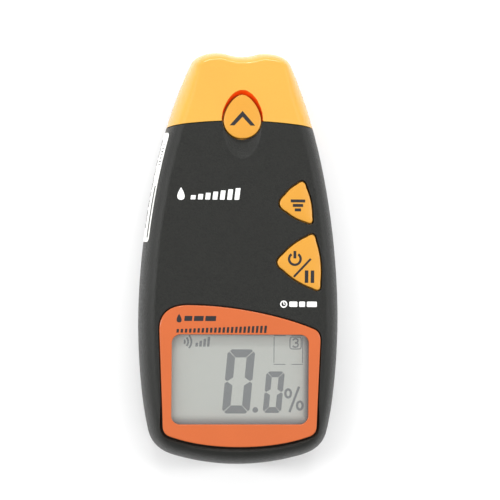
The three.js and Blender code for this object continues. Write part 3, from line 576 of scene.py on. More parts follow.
def stroke(line, width, closed=False):
    """A band of even width along a line."""
    line = np.array(line, float)
    if closed:
        ahead, behind = np.roll(line, -1, 0), np.roll(line, 1, 0)
    else:
        ahead = np.vstack([line[1:], 2 * line[-1] - line[-2]])
        behind = np.vstack([2 * line[0] - line[1], line[:-1]])
    along = unit(ahead - behind)
    side = np.column_stack([along[:, 1], -along[:, 0]]) * width / 2
    count = len(line)
    points = [tuple(p) for p in np.vstack([line + side, line - side])]
    faces = []
    for i in range(count if closed else count - 1):
        j = (i + 1) % count
        faces.append((i, j, count + j, count + i))
    return points, faces


def arc(x, y, radius, start, end, steps=20):
    """Points along an arc, in degrees."""
    angles = np.radians(np.linspace(start, end, steps + 1))
    return np.column_stack([x + radius * np.cos(angles), y + radius * np.sin(angles)])


def droplet(x, y, height):
    """A drop of water with its point up, standing at (x, y)."""
    radius = height * 0.31
    return blob(
        path(
            (x, y),
            [(x + radius * 1.25, y), (x + radius * 1.25, y + height * 0.42), (x, y + height)],
            [(x - radius * 1.25, y + height * 0.42), (x - radius * 1.25, y), (x, y)],
        )
    )


def layer(name, marks, place, low, high, finest):
    """A thin closed layer of marks; place turns a plan point and a lift into a point."""
    mesh = bmesh.new()
    for points, faces in marks:
        corners = [mesh.verts.new((x, y, 0)) for x, y in points]
        for face in faces:
            mesh.faces.new([corners[i] for i in face])
    bmesh.ops.triangulate(mesh, faces=mesh.faces)
    for _ in range(5):
        edges = [e for e in mesh.edges if e.calc_length() > finest]
        if not edges:
            break
        bmesh.ops.subdivide_edges(mesh, edges=edges, cuts=1)
        bmesh.ops.triangulate(mesh, faces=mesh.faces)
    bmesh.ops.recalc_face_normals(mesh, faces=mesh.faces)
    for face in mesh.faces:
        if face.normal.z < 0:
            face.normal_flip()
    mesh.verts.index_update()
    plan = [vertex.co.copy() for vertex in mesh.verts]
    count = len(plan)
    points = [place(p.x, p.y, high) for p in plan] + [place(p.x, p.y, low) for p in plan]
    faces = []
    for face in mesh.faces:
        corners = [v.index for v in face.verts]
        faces.append(corners)
        faces.append([i + count for i in reversed(corners)])
        for loop in face.loops:
            if len(loop.edge.link_faces) == 1:
                a, b = loop.vert.index, loop.link_loop_next.vert.index
                faces.append([a + count, b + count, b, a])
    mesh.free()
    return form(name, (points, faces))


def on_level(z):
    """Lays marks on a level surface."""
    return lambda x, y, lift: (x, y, z + lift)


def on_surface(obj):
    """Lays marks on whatever an object's top surface does."""
    bpy.context.view_layer.update()
    tree = BVHTree.FromObject(obj, bpy.context.evaluated_depsgraph_get())

    def place(x, y, lift):
        hit = tree.ray_cast(Vector((x * MM, y * MM, 1.0)), Vector((0, 0, -1)))[0]
        if hit is None:
            raise RuntimeError(f"a mark misses {obj.name} at {x:.1f}, {y:.1f}")
        return (x, y, hit.z / MM + lift)

    return place


# ------------------------------------------------------------------ materials
def add(tree, kind, settings=None, inputs=None):
    """Adds a node, sets its properties, and sets or links its inputs."""
    node = tree.nodes.new(kind)
    for name, value in (settings or {}).items():
        if name == "stops":
            for i, (position, colour) in enumerate(value):
                if i > 1:
                    node.color_ramp.elements.new(position)
                node.color_ramp.elements[i].position = position
                node.color_ramp.elements[i].color = colour
        else:
            setattr(node, name, value)
    for name, value in (inputs or {}).items():
        if isinstance(value, bpy.types.NodeSocket):
            tree.links.new(value, node.inputs[name])
        else:
            node.inputs[name].default_value = value
    return node


def new_material(name, surface, build=None):
    """A material whose shader takes the given socket values, and whose tree is then built on."""
    material = bpy.data.materials.get(name)
    if material:
        return material
    material = bpy.data.materials.new(name)
    material.use_nodes = True
    tree = material.node_tree
    tree.nodes.clear()
    shader = add(tree, "ShaderNodeBsdfPrincipled", inputs=surface)
    add(tree, "ShaderNodeOutputMaterial", inputs={"Surface": shader.outputs[0]})
    if build:
        place = add(tree, "ShaderNodeTexCoord").outputs["Object"]
        build(tree, shader, place)
    return material


def shade(colour, factor):
    """A colour made darker or lighter."""
    return (*[min(1.0, c * factor) for c in colour[:3]], 1.0)


def grained(colour, spacing, spread, rough, relief, drift=0.04):
    """Builder for a moulded or sprayed surface: grain of a spacing in metres, its colour spread,
    its lowest and highest roughness, and its relief in metres, over a slow drift of the colour."""

    def build(tree, shader, place):
        grain = add(
            tree,
            "ShaderNodeTexNoise",
            inputs={"Vector": place, "Scale": 1 / spacing, "Detail": 3.0, "Roughness": 0.6},
        )
        cloud = add(
            tree,
            "ShaderNodeTexNoise",
            inputs={"Vector": place, "Scale": 1 / (14 * MM), "Detail": 2.0, "Roughness": 0.5},
        )
        speckle = add(
            tree,
            "ShaderNodeValToRGB",
            {"stops": [(0.3, shade(colour, 1 - spread)), (0.7, shade(colour, 1 + spread))]},
            {"Fac": grain.outputs["Fac"]},
        )
        wash = add(
            tree,
            "ShaderNodeValToRGB",
            {"stops": [(0.35, (1 - drift,) * 3 + (1,)), (0.65, (1,) * 4)]},
            {"Fac": cloud.outputs["Fac"]},
        )
        mixed = add(
            tree,
            "ShaderNodeMix",
            {"data_type": "RGBA", "blend_type": "MULTIPLY"},
            {0: 1.0, 6: speckle.outputs["Color"], 7: wash.outputs["Color"]},
        )
        polish = add(
            tree,
            "ShaderNodeMapRange",
            inputs={
                "Value": grain.outputs["Fac"],
                "From Min": 0.3,
                "From Max": 0.7,
                "To Min": rough[0],
                "To Max": rough[1],
            },
        )
        bump = add(
            tree,
            "ShaderNodeBump",
            inputs={"Height": grain.outputs["Fac"], "Strength": 1.0, "Distance": relief},
        )
        tree.links.new(mixed.outputs[2], shader.inputs["Base Color"])
        tree.links.new(polish.outputs["Result"], shader.inputs["Roughness"])
        tree.links.new(bump.outputs["Normal"], shader.inputs["Normal"])

    return build


def case_plastic():
    """Moulded ABS with a spark-eroded sand texture: matt, with soft grey lights on the edges.
    The real grain is about 0.1 mm and is drawn several times coarser so that it shows."""
    scene = bpy.context.scene
    colour, grain = scene.meter_colours.case, scene.meter_sizes.sand_grain
    return new_material(
        "sand_textured_abs",
        {"IOR": 1.54, "Specular IOR Level": 0.33},
        grained(colour, grain, 0.6, (0.34, 0.58), 0.14 * MM),
    )


def satin_abs(name, colour, rough=(0.28, 0.38)):
    """Moulded ABS from a satin mould: even colour, a soft broad highlight and a faint grain.
    Its grain of about 0.05 mm is drawn at 0.4 mm so that it shows."""
    return new_material(
        name,
        {"IOR": 1.54, "Subsurface Weight": 0.0},
        grained(colour, 0.4 * MM, 0.025, rough, 0.005 * MM, 0.03),
    )


def pad_ink(name, colour):
    """Pad-printed ink: a thin satin film that is a little uneven in cover."""
    return new_material(
        name, {"IOR": 1.5}, grained(colour, 0.35 * MM, 0.08, (0.4, 0.55), 0.006 * MM)
    )


def window_acrylic():
    """Clear cast acrylic with a polished face: it lets the display through with a faint gloss,
    and hairline scuffs break the gloss up."""

    def build(tree, shader, place):
        scuff = add(
            tree,
            "ShaderNodeTexNoise",
            inputs={"Vector": place, "Scale": 1 / (3 * MM), "Detail": 5.0, "Roughness": 0.7},
        )
        gloss = add(
            tree,
            "ShaderNodeMapRange",
            inputs={"Value": scuff.outputs["Fac"], "To Min": 0.04, "To Max": 0.16},
        )
        tree.links.new(gloss.outputs["Result"], shader.inputs["Roughness"])

    return new_material(
        "clear_acrylic", {"IOR": 1.49, "Alpha": 0.1, "Base Color": linear("#E8EDEA")}, build
    )


def display_glass():
    """Liquid crystal glass over a reflector foil: pale green-grey and slightly silky.
    Towards the right and lower edges of the opening the glass is painted a dark brownish grey: painted shade from the
    bezel's inner walls."""
    colour = bpy.context.scene.meter_colours.glass

    def build(tree, shader, place):
        parts = add(tree, "ShaderNodeSeparateXYZ", inputs={"Vector": place})
        # painted shade: smooth ramps towards the opening's right and lower edges
        right, foot = OPENING_HALF_WIDTH * MM, OPENING_FOOT_Y * MM
        edges = []
        for axis, near, far in (
            ("X", right - 2.4 * MM, right + 0.2 * MM),
            ("Y", foot + 3.4 * MM, foot - 0.1 * MM),
        ):
            edges.append(
                add(
                    tree,
                    "ShaderNodeMapRange",
                    {"interpolation_type": "SMOOTHSTEP"},
                    {
                        "Value": parts.outputs[axis],
                        "From Min": near,
                        "From Max": far,
                        "To Min": 0.0,
                        "To Max": 1.0,
                    },
                ).outputs["Result"]
            )
        painted_shade = add(tree, "ShaderNodeMath", {"operation": "MAXIMUM"}, {0: edges[0], 1: edges[1]})
        silk = add(
            tree,
            "ShaderNodeTexNoise",
            inputs={"Vector": place, "Scale": 1 / (0.5 * MM), "Detail": 2.0},
        )
        face = add(
            tree,
            "ShaderNodeValToRGB",
            {"stops": [(0.3, shade(colour, 0.97)), (0.7, shade(colour, 1.02))]},
            {"Fac": silk.outputs["Fac"]},
        )
        # mixes the painted shade colour #382B2F into the glass along those ramps
        mixed = add(
            tree,
            "ShaderNodeMix",
            {"data_type": "RGBA"},
            {0: painted_shade.outputs[0], 6: face.outputs["Color"], 7: linear("#382B2F")},
        )
        tree.links.new(mixed.outputs[2], shader.inputs["Base Color"])

    return new_material("display_glass", {"IOR": 1.52, "Roughness": 0.3}, build)


def zinc_steel():
    """Zinc-plated steel: bright and faintly mottled, with soft reflections."""
    return new_material(
        "zinc_plated_steel",
        {"Metallic": 1.0},
        grained(linear("#C4C7C9"), 0.8 * MM, 0.08, (0.24, 0.4), 0.004 * MM),
    )


def solder_mask():
    """Green solder mask over copper: satin, with paler tracks under it."""

    def build(tree, shader, place):
        tracks = add(
            tree,
            "ShaderNodeTexBrick",
            {"offset": 0.5, "squash": 0.6, "squash_frequency": 3},
            {
                "Vector": place,
                "Scale": 1 / (6 * MM),
                "Mortar Size": 0.03,
                "Color1": linear("#1C5A38"),
                "Color2": linear("#1A5435"),
                "Mortar": linear("#3B8258"),
            },
        )
        relief = add(
            tree,
            "ShaderNodeBump",
            inputs={"Height": tracks.outputs["Fac"], "Distance": 0.03 * MM},
        )
        tree.links.new(tracks.outputs["Color"], shader.inputs["Base Color"])
        tree.links.new(relief.outputs["Normal"], shader.inputs["Normal"])

    return new_material("solder_mask", {"IOR": 1.5, "Roughness": 0.35}, build)


def foam_sheet():
    """Open-cell polyurethane foam: dark, matt and pitted with cells about 0.6 mm across."""

    def build(tree, shader, place):
        cells = add(
            tree, "ShaderNodeTexVoronoi", inputs={"Vector": place, "Scale": 1 / (0.6 * MM)}
        )
        colour = add(
            tree,
            "ShaderNodeValToRGB",
            {"stops": [(0.0, linear("#232427")), (0.6, linear("#3A3B3F"))]},
            {"Fac": cells.outputs["Distance"]},
        )
        pits = add(
            tree,
            "ShaderNodeBump",
            inputs={"Height": cells.outputs["Distance"], "Distance": 0.15 * MM},
        )
        tree.links.new(colour.outputs["Color"], shader.inputs["Base Color"])
        tree.links.new(pits.outputs["Normal"], shader.inputs["Normal"])

    return new_material("polyurethane_foam", {"IOR": 1.45, "Roughness": 0.95}, build)


def battery_jacket():
    """Printed steel battery jacket: dark satin with a copper band at its head end."""

    def build(tree, shader, place):
        parts = add(tree, "ShaderNodeSeparateXYZ", inputs={"Vector": place})
        band = add(
            tree,
            "ShaderNodeMapRange",
            inputs={
                "Value": parts.outputs["Y"],
                "From Min": (BATTERY_HIGH[1] - 14.1) * MM,
                "From Max": (BATTERY_HIGH[1] - 13.9) * MM,
            },
        )
        mixed = add(
            tree,
            "ShaderNodeMix",
            {"data_type": "RGBA"},
            {0: band.outputs["Result"], 6: linear("#2B2E31"), 7: linear("#B9773A")},
        )
        tree.links.new(mixed.outputs[2], shader.inputs["Base Color"])

    return new_material("printed_jacket", {"IOR": 1.5, "Roughness": 0.3}, build)


def plain_grained(name, colour, spacing, rough, relief):
    """A moulded, drawn or extruded material with a grain and no pattern of its own."""
    return new_material(
        name, {"IOR": 1.52}, grained(linear(colour), spacing, 0.08, rough, relief)
    )


# ------------------------------------------------------------------ shells
def edge_rings(wall, z_straight, z_flat, inset, depth, steps=18):
    """Rings of the case's outline over a quarter-ellipse edge, from the straight side inwards."""
    outline = offset(CASE, -wall)
    near_head = np.clip((outline[:, 1] - HEAD_Y + 15) / 12, 0, 1)
    near_head = near_head * near_head * (3 - 2 * near_head)
    inset = inset * (1 - 0.36 * near_head)
    rings = []
    for turn in np.linspace(0, math.pi / 2, steps + 1):
        z = z_flat + (z_straight - z_flat) * (1 - math.sin(turn))
        rings.append(ring(offset(outline, -inset * (1 - math.cos(turn))), z))
    return rings


def front_form(wall, z_face, z0, chamfer=0.0):
    """The body in front of a height, its outside moved in by a wall."""
    inset, depth = FRONT_EDGE_INSET - wall, FRONT_EDGE_DEPTH - wall
    base = [ring(offset(CASE, -wall - chamfer), z0)]
    if chamfer:
        base.append(ring(offset(CASE, -wall), z0 + chamfer))
    return loft(base + edge_rings(wall, z_face - depth, z_face, inset, depth))


def rear_form(wall, z_back, z1, chamfer=0.0):
    """The body behind a height, its outside moved in by a wall."""
    rounding = REAR_EDGE_ROUNDING - wall
    rings = edge_rings(wall, z_back + rounding, z_back, rounding, rounding)[::-1]
    if chamfer:
        rings.append(ring(offset(CASE, -wall), z1 - chamfer))
    return loft(rings + [ring(offset(CASE, -wall - chamfer), z1)])


def head_side(shift, z0=-5.0, z1=40.0):
    """Everything on the head's side of the arched seam, moved towards the head by a shift."""
    y = SEAM_Y + shift
    arch = path(
        (-HALF_WIDTH, y - SEAM_DROP),
        [(0, y + SEAM_DROP), (HALF_WIDTH, y - SEAM_DROP)],
        steps=60,
    )
    ends = [(FAR, y - SEAM_DROP), (FAR, FAR), (-FAR, FAR), (-FAR, y - SEAM_DROP)]
    return prism(np.vstack([arch, ends]), z0, z1)


def scoop():
    """The ellipsoid that dishes the face below the up key."""
    rise = SCOOP_BALL_HEIGHT - SCOOP_DEPTH
    share = math.sqrt(1 - (rise / SCOOP_BALL_HEIGHT) ** 2)
    middle = KEYS["up"][:, 1].min() + 4.3
    foot = KEYS["up"][:, 1].min() - SCOOP_REACH
    wide, long = SCOOP_HALF_WIDTH / share, (middle - foot) / share
    rings = []
    for turn in np.linspace(-math.pi / 2 + 0.01, math.pi / 2 - 0.01, 61):
        span = circle(0, 0, 1, 96) * [wide * math.cos(turn), long * math.cos(turn)]
        rings.append(ring(span + [0, middle], FACE_Z + rise + SCOOP_BALL_HEIGHT * math.sin(turn)))
    return loft(rings)


def around_opening(lap, radius):
    """A rounded rectangle around the window opening, wider by a lap on every side."""
    return rounded_rectangle(
        -OPENING_HALF_WIDTH - lap,
        OPENING_HALF_WIDTH + lap,
        OPENING_FOOT_Y - lap,
        OPENING_FOOT_Y + OPENING_HEIGHT + lap,
        radius,
    )


def bezel_pocket(step, lip):
    """The recess that the bezel lies in; its lower wall slopes back as a wide step."""
    low = (BEZEL_HIGH[1] - BEZEL[:, 1]) / (BEZEL_HIGH[1] - BEZEL_LOW[1])
    weight = np.clip((low - 0.72) / 0.2, 0, 1)
    weight = weight * weight * (3 - 2 * weight)
    spread = 0.05 + step * weight
    rings = [ring(offset(BEZEL, 0.3), POCKET_Z), ring(offset(BEZEL, 0.32), POCKET_Z + 0.25)]
    turns = np.linspace(0, math.pi / 2, 6)
    rings.append(ring(offset(BEZEL, 0.3 + spread), FACE_Z - lip))
    for turn in turns[1:]:
        grown = 0.3 + spread + lip * (1 - math.cos(turn))
        rings.append(ring(offset(BEZEL, grown), FACE_Z - lip * (1 - math.sin(turn))))
    rings.append(ring(offset(BEZEL, 0.3 + spread + lip), FACE_Z + 3))
    return loft(rings)


def front_case(sizes):
    """Front half of the case with its holes, recess, scoop, bosses and board posts."""
    lip = sizes.lip_rounding / MM
    shell = form("front_case", front_form(0, FACE_Z, FRONT_Z, sizes.parting_chamfer / MM))
    carve(shell, [front_form(SHELL_WALL, INNER_FACE_Z, FRONT_Z - 1)])
    body_screws = [p for p in SHELL_SCREWS.values() if p[1] < SEAM_Y]
    posts = [(sum(extent(f"board_screw_{i}")) / 2)[:2] for i in (1, 2, 3)]
    carve(
        shell,
        [rod(p, BOSS_RADIUS, FRONT_Z, INNER_FACE_Z + 0.5) for p in body_screws]
        + [rod(p, 2.1, BOARD_HIGH[2] + 0.1, INNER_FACE_Z + 0.5) for p in posts],
        "UNION",
    )
    carve(
        shell,
        [rod(p, 1.4, FRONT_Z - 2, SCREW_SEAT + SCREW_LENGTH + 1.5, 24) for p in body_screws]
        + [rod(p, 1.0, BOARD_HIGH[2] - 1, BOARD_HIGH[2] + 3, 24) for p in posts]
        + [
            flared(KEYS[name], KEY_GAPS[name], FRONT_Z + 4.7, FACE_Z, lip)
            for name in ("mode", "power")
        ]
        + [prism(offset(KEYS["up"], KEY_GAPS["up"]), FRONT_Z + 4.7, FACE_Z + 4)]
        + [
            bezel_pocket(sizes.bezel_step / MM, lip),
            prism(around_opening(1.6, 2.0), INNER_FACE_Z - 3, FACE_Z + 4),
            head_side(-SEAM_GAP / 2),
            scoop(),
        ],
    )
    return smooth(shell)


def head_cap(sizes):
    """The orange cap over the head, and which of its faces are the recess around the up key, which get a deeper
    red-orange as painted shade.
    """
    outer = [ring(offset(CASE, -0.42), CAP_Z), ring(offset(CASE, -0.12), CAP_Z + 0.3)]
    outer.append(ring(CASE, REAR_EDGE_ROUNDING))
    depth, inset = FRONT_EDGE_DEPTH, FRONT_EDGE_INSET
    cap = form("head_cap", loft(outer + edge_rings(0, FACE_Z - depth, FACE_Z, inset, depth)))
    carve(cap, [front_form(SHELL_WALL, INNER_FACE_Z, CAP_Z - 1)])
    carve(cap, [head_side(SEAM_GAP / 2)], "INTERSECT")
    head_screws = [p for p in SHELL_SCREWS.values() if p[1] > SEAM_Y]
    carve(cap, [rod(p, BOSS_RADIUS, FRONT_Z, INNER_FACE_Z + 0.5) for p in head_screws], "UNION")
    egg = KEYS["up"]
    high = (egg[:, 1] - egg[:, 1].min()) / (egg[:, 1].max() - egg[:, 1].min())
    slope = sizes.recess_slope / MM * (0.2 + 0.8 * np.clip((high - 0.3) / 0.7, 0, 1) ** 1.3)
    gap = KEY_GAPS["up"] - 0.1
    rings = [ring(offset(egg, gap), FRONT_Z + 4.7), ring(offset(egg, gap), FACE_Z - 2.2)]
    rings.append(ring(offset(egg, gap + slope), FACE_Z - 0.12))
    rings.append(ring(offset(egg, gap + slope + 0.12), FACE_Z))
    rings.append(ring(offset(egg, gap + slope + 0.12), FACE_Z + 4))
    bores = [rod(p, 1.4, FRONT_Z - 2, SCREW_SEAT + SCREW_LENGTH + 1.5, 24) for p in head_screws]
    carve(cap, [loft(rings), *bores])
    smooth(cap)
    centres = np.array([face.center for face in cap.data.polygons]) / MM
    # the recess wall's faces, which take the painted shade colour
    recess = inside(centres, offset(egg, gap + slope + 0.06)) & (centres[:, 2] > 20)
    return cap, recess & (centres[:, 2] < FACE_Z - 0.05)


def compartment():
    """Inside of the battery compartment in plan: left, right, foot and head."""
    half = BATTERY_HIGH[0] + 0.4
    return -half, half, BATTERY_LOW[1] - 0.4, CLIP_HIGH[1] + 5.0


def door_section(gap, y0, y1):
    """The door's plate and tongues, grown by a gap."""
    tongue, plate = DOOR_HIGH[0] + gap, DOOR_HIGH[0] - 1.3 + gap
    top = DOOR_HIGH[2] + gap
    return [block(-plate, plate, y0, y1, -1, top), block(-tongue, tongue, y0, y1, top - 1 - 2 * gap, top)]


def rear_case(sizes):
    """Rear half of the case with the battery compartment, rails, screw tubes and pad recess."""
    left, right, foot, head = compartment()
    roof = FOAM_HIGH[2] + 0.3
    shell = form("rear_case", rear_form(0, 0, PARTING_Z, sizes.parting_chamfer / MM))
    carve(shell, [rear_form(SHELL_WALL, REAR_WALL, PARTING_Z + 1)])
    carve(shell, [head_side(-SEAM_GAP, CAP_Z - SEAM_GAP, PARTING_Z + 9)])
    rail = DOOR_HIGH[0] + 1.5
    rail_top = DOOR_HIGH[2] + 1.5
    rails = common(
        block(-rail, rail, END_Y, head + 3.2, rail_top - 2.7, rail_top),
        rear_form(0.5, 0.5, PARTING_Z + 1),
    )
    tubes = [
        common(
            rod((x, y), SCREW_BORE + 1.2, REAR_WALL / 2, PARTING_Z),
            rear_form(SHELL_WALL + 0.3 if y > SEAM_Y else SHELL_WALL / 2, 0, PARTING_Z + 0.5),
        )
        for x, y in SHELL_SCREWS.values()
    ]
    box = block(left - 1.2, right + 1.2, foot - 1.2, head + 1.2, REAR_WALL - 0.5, roof + 1)
    carve(shell, [rails, box, *tubes], "UNION")
    pad = rounded_rectangle(PAD_LOW[0], PAD_HIGH[0], PAD_LOW[1], PAD_HIGH[1], 3.7)
    lead = circle(0, 0, 3.2, 24)
    hole = loft(
        [
            np.column_stack([lead[:, 0], np.full(24, y), sum(CLIP_LOW + CLIP_HIGH) * 0 + lead[:, 1]])
            for y in (head + 2.2, head - 1)
        ]
    )
    hole = (hole[0] + [0, 0, (CLIP_LOW[2] + CLIP_HIGH[2]) / 2], hole[1])
    lip = sizes.lip_rounding / MM
    carve(
        shell,
        [
            *door_section(0.3, END_Y - 1, DOOR_HIGH[1] + 0.3),
            block(left, right, foot, head, -1, roof),
            dished(pad, 0.3, PAD_HIGH[2] + 0.1, 0, lip),
            hole,
        ]
        + [
            dished(circle(x, y, SCREW_BORE, 48), 0, SCREW_SEAT + SCREW_HEAD_HEIGHT + 0.1, 0, lip)
            for x, y in SHELL_SCREWS.values()
        ]
        + [rod(p, 1.6, -1, PARTING_Z + 1, 24) for p in SHELL_SCREWS.values()],
    )
    return smooth(shell)


def battery_door():
    """The sliding door, with thumb grooves near its foot."""
    plate_shape, tongue_shape = door_section(0, END_Y - 1, DOOR_HIGH[1])
    door = form("door", plate_shape)
    carve(door, [tongue_shape], "UNION")
    carve(door, [rear_form(0, 0, PARTING_Z)], "INTERSECT")
    carve(door, [block(-FAR, FAR, END_Y - 2, HEAD_Y, -3, DOOR_LOW[2])])
    grooves = []
    for number in range(5):
        y = END_Y + 12.5 + number * 2.2
        outline = rounded_rectangle(-8, 8, y - 0.5, y + 0.5, 0.49, 6)
        grooves.append(dished(outline, -0.1, DOOR_LOW[2] + 0.5, DOOR_LOW[2], 0.25, 4))
    carve(door, grooves)
    door.name = "battery_door_piece"
    return smooth(door)


# ------------------------------------------------------------------ face pieces
def bezel(sizes):
    """The display bezel with rounded outer and inner edges."""
    edge = sizes.bezel_edge / MM
    z0, z1 = BEZEL_LOW[2], BEZEL_HIGH[2]
    rings = [ring(offset(BEZEL, -0.1), z0), ring(BEZEL, z0 + 0.1)]
    for turn in np.linspace(0, math.pi / 2, 7):
        rings.append(ring(offset(BEZEL, -edge * (1 - math.cos(turn))), z1 - edge * (1 - math.sin(turn))))
    plate = form("bezel", loft(rings))
    carve(plate, [flared(around_opening(0, OPENING_CORNER), 0, z0 - 1, z1, 0.22)])
    return smooth(plate)


def key(name, sizes):
    """A crowned key with its flange below the case's face."""
    outline = KEYS[name]
    low, high = extent(f"{name}_button")
    high = high - sizes.ink_thickness / MM
    edge, crown = sizes.key_edge / MM, sizes.key_crown / MM
    flange_top = low[2] + KEY_FLANGE
    rings = [ring(offset(outline, KEY_LIP - 0.1), low[2]), ring(offset(outline, KEY_LIP), low[2] + 0.1)]
    rings.append(ring(offset(outline, KEY_LIP), flange_top - 0.1))
    rings.append(ring(offset(outline, KEY_LIP - 0.1), flange_top))
    rings.append(ring(offset(outline, 0.1), flange_top + 0.01))
    rings.append(ring(outline, flange_top + 0.15))
    shoulder = high[2] - crown - edge
    for turn in np.linspace(0, math.radians(80), 8):
        grown = -edge * (1 - math.cos(turn))
        rings.append(ring(offset(outline, grown), shoulder + edge * math.sin(turn)))
    rim, rim_z = rings[-1][:, :2], rings[-1][0, 2]
    centre = rim.mean(0)
    for share in np.linspace(0, 1, 15)[1:]:
        level = rim_z + (high[2] - rim_z) * (1 - (1 - share) ** 2)
        rings.append(ring(centre + (rim - centre) * max(1 - share, 0.004), level))
    return smooth(form(f"{name}_key", loft(rings)))


def side_label(sizes):
    """The sticker on the left wall, wrapped on the wall's curve, with rounded corners."""
    low, high = LABEL_LOW, LABEL_HIGH
    outline = rounded_rectangle(low[1], high[1], low[2], high[2], sizes.label_corner / MM, 6)
    return layer("label_sheet", [blob(outline)], on_left_wall(), 0.05, 0.2, 1.2)


def on_left_wall():
    """Lays marks on the case's left wall; plan points are (y, z)."""
    left = CASE[(CASE[:, 0] < -18) & (CASE[:, 1] > -10)]
    left = left[np.argsort(left[:, 1])]
    slope = unit(np.gradient(left, axis=0))
    straight = FACE_Z - FRONT_EDGE_DEPTH

    def place(y, z, lift):
        x = np.interp(y, left[:, 1], left[:, 0])
        along = [np.interp(y, left[:, 1], slope[:, i]) for i in (0, 1)]
        rise = max(z - straight, 0.0) / FRONT_EDGE_DEPTH
        inset = FRONT_EDGE_INSET * (1 - math.sqrt(1 - rise * rise))
        out = lift - inset
        return (x - along[1] * out, y + along[0] * out, z)

    return place


def cross_recess(x, y):
    """The tapered cross that a driver fits."""
    shapes = []
    for wide, tall in ((1.5, 0.36), (0.36, 1.5)):
        foot = rounded_rectangle(x - wide, x + wide, y - tall, y + tall, 0.12, 3)
        tip = rounded_rectangle(x - wide * 0.6, x + wide * 0.6, y - tall * 0.6, y + tall * 0.6, 0.07, 3)
        shapes.append(loft([ring(foot, SCREW_SEAT - 0.5), ring(foot, SCREW_SEAT + 0.1), ring(tip, SCREW_SEAT + 1.0)]))
    return shapes


def shell_screw(name, place):
    """A pan-head screw with a cross recess and a ribbed thread."""
    r, s, top = SCREW_RADIUS, SCREW_SEAT, SCREW_SEAT + SCREW_HEAD_HEIGHT
    profile = [(0.01, s), (r * 0.45, s + 0.02), (r * 0.72, s + 0.12), (r * 0.9, s + 0.36)]
    profile += [(r * 0.98, s + 0.7), (r, s + 1.0), (r, top - 0.1), (r - 0.1, top)]
    shaft, tip = SCREW_SHAFT_RADIUS, SCREW_SEAT + SCREW_LENGTH
    profile.append((shaft * 0.8, top + 0.01))
    for z in np.arange(top + 0.5, tip - 0.9, 0.9):
        profile += [(shaft * 0.8, z), (shaft, z + 0.3), (shaft, z + 0.38), (shaft * 0.8, z + 0.68)]
    profile += [(shaft * 0.7, tip - 0.2), (0.3, tip)]
    screw = form(name, lathe(place, profile))
    carve(screw, cross_recess(*place))
    return smooth(screw)


def sensor_pad():
    """The measuring pad: a soft-edged plate with a shallow framed field."""
    square = rounded_rectangle(PAD_LOW[0], PAD_HIGH[0], PAD_LOW[1], PAD_HIGH[1], 3.7, 12)
    top = PAD_HIGH[2]
    levels = [(-0.0, top), (0.0, 0.5), (-0.12, 0.2), (-0.45, 0.0), (-2.2, 0.0), (-2.5, 0.25), (-2.7, 0.3)]
    rings = [ring(offset(square, grown), z) for grown, z in levels]
    points, faces = loft(rings[::-1])
    return smooth(form("measuring_pad", (points, faces)))


def foam_pad():
    """The foam strip that steadies the battery: soft edges and a slightly crowned face."""
    x0, y0, z0 = FOAM_LOW
    x1, y1, z1 = FOAM_HIGH
    outline = rounded_rectangle(x0, x1, y0, y1, 1.0, 5)
    rings = []
    middle = (z0 + z1) / 2
    for turn in np.linspace(-math.pi / 2, math.pi / 2, 13):
        rings.append(ring(offset(outline, -0.4 * (1 - math.cos(turn))), middle + (z1 - z0) * 0.42 * math.sin(turn)))
    centre = outline.mean(0)
    for share in (0.85, 0.6, 0.3, 0.02):
        lift = (z1 - middle) * (0.84 + 0.16 * (1 - share))
        rings.append(ring(centre + (rings[12][:, :2] - centre) * share, middle + lift))
        rings.insert(0, ring(centre + (rings[12][:, :2] * 0 + rings[-1][:, :2] - centre), middle - lift))
    return smooth(form("battery_foam_pad", loft(rings)))


# ------------------------------------------------------------------ display content
def digit_zero(x, y, width, height, line, slant):
    """A seven-segment 0 with cut outer corners and pointed side segments, leaning by a slant."""
    w, h, t = width, height, line
    gap, cut, half = line * 0.04, line * 0.5, height / 2
    mitre = cut / 2
    level = [(cut, 0), (w - cut, 0), (w - mitre - gap, mitre - gap), (w - t - gap, t)]
    level += [(t + gap, t), (mitre + gap, mitre - gap)]
    upright = [(0, cut), (mitre - gap, mitre + gap), (t, t + gap), (t, half - t * 0.5)]
    upright += [(t * 0.3, half - gap), (0, half - t * 0.25)]
    marks = []
    for shape in (level, upright):
        for flip_x, flip_y in ((False, False), (True, False), (False, True), (True, True)):
            if shape is level and flip_x:
                continue
            points = [
                (w - px if flip_x else px, h - py if flip_y else py) for px, py in shape
            ]
            marks.append(blob([(x + px + py * slant, y + py) for px, py in points]))
    return marks


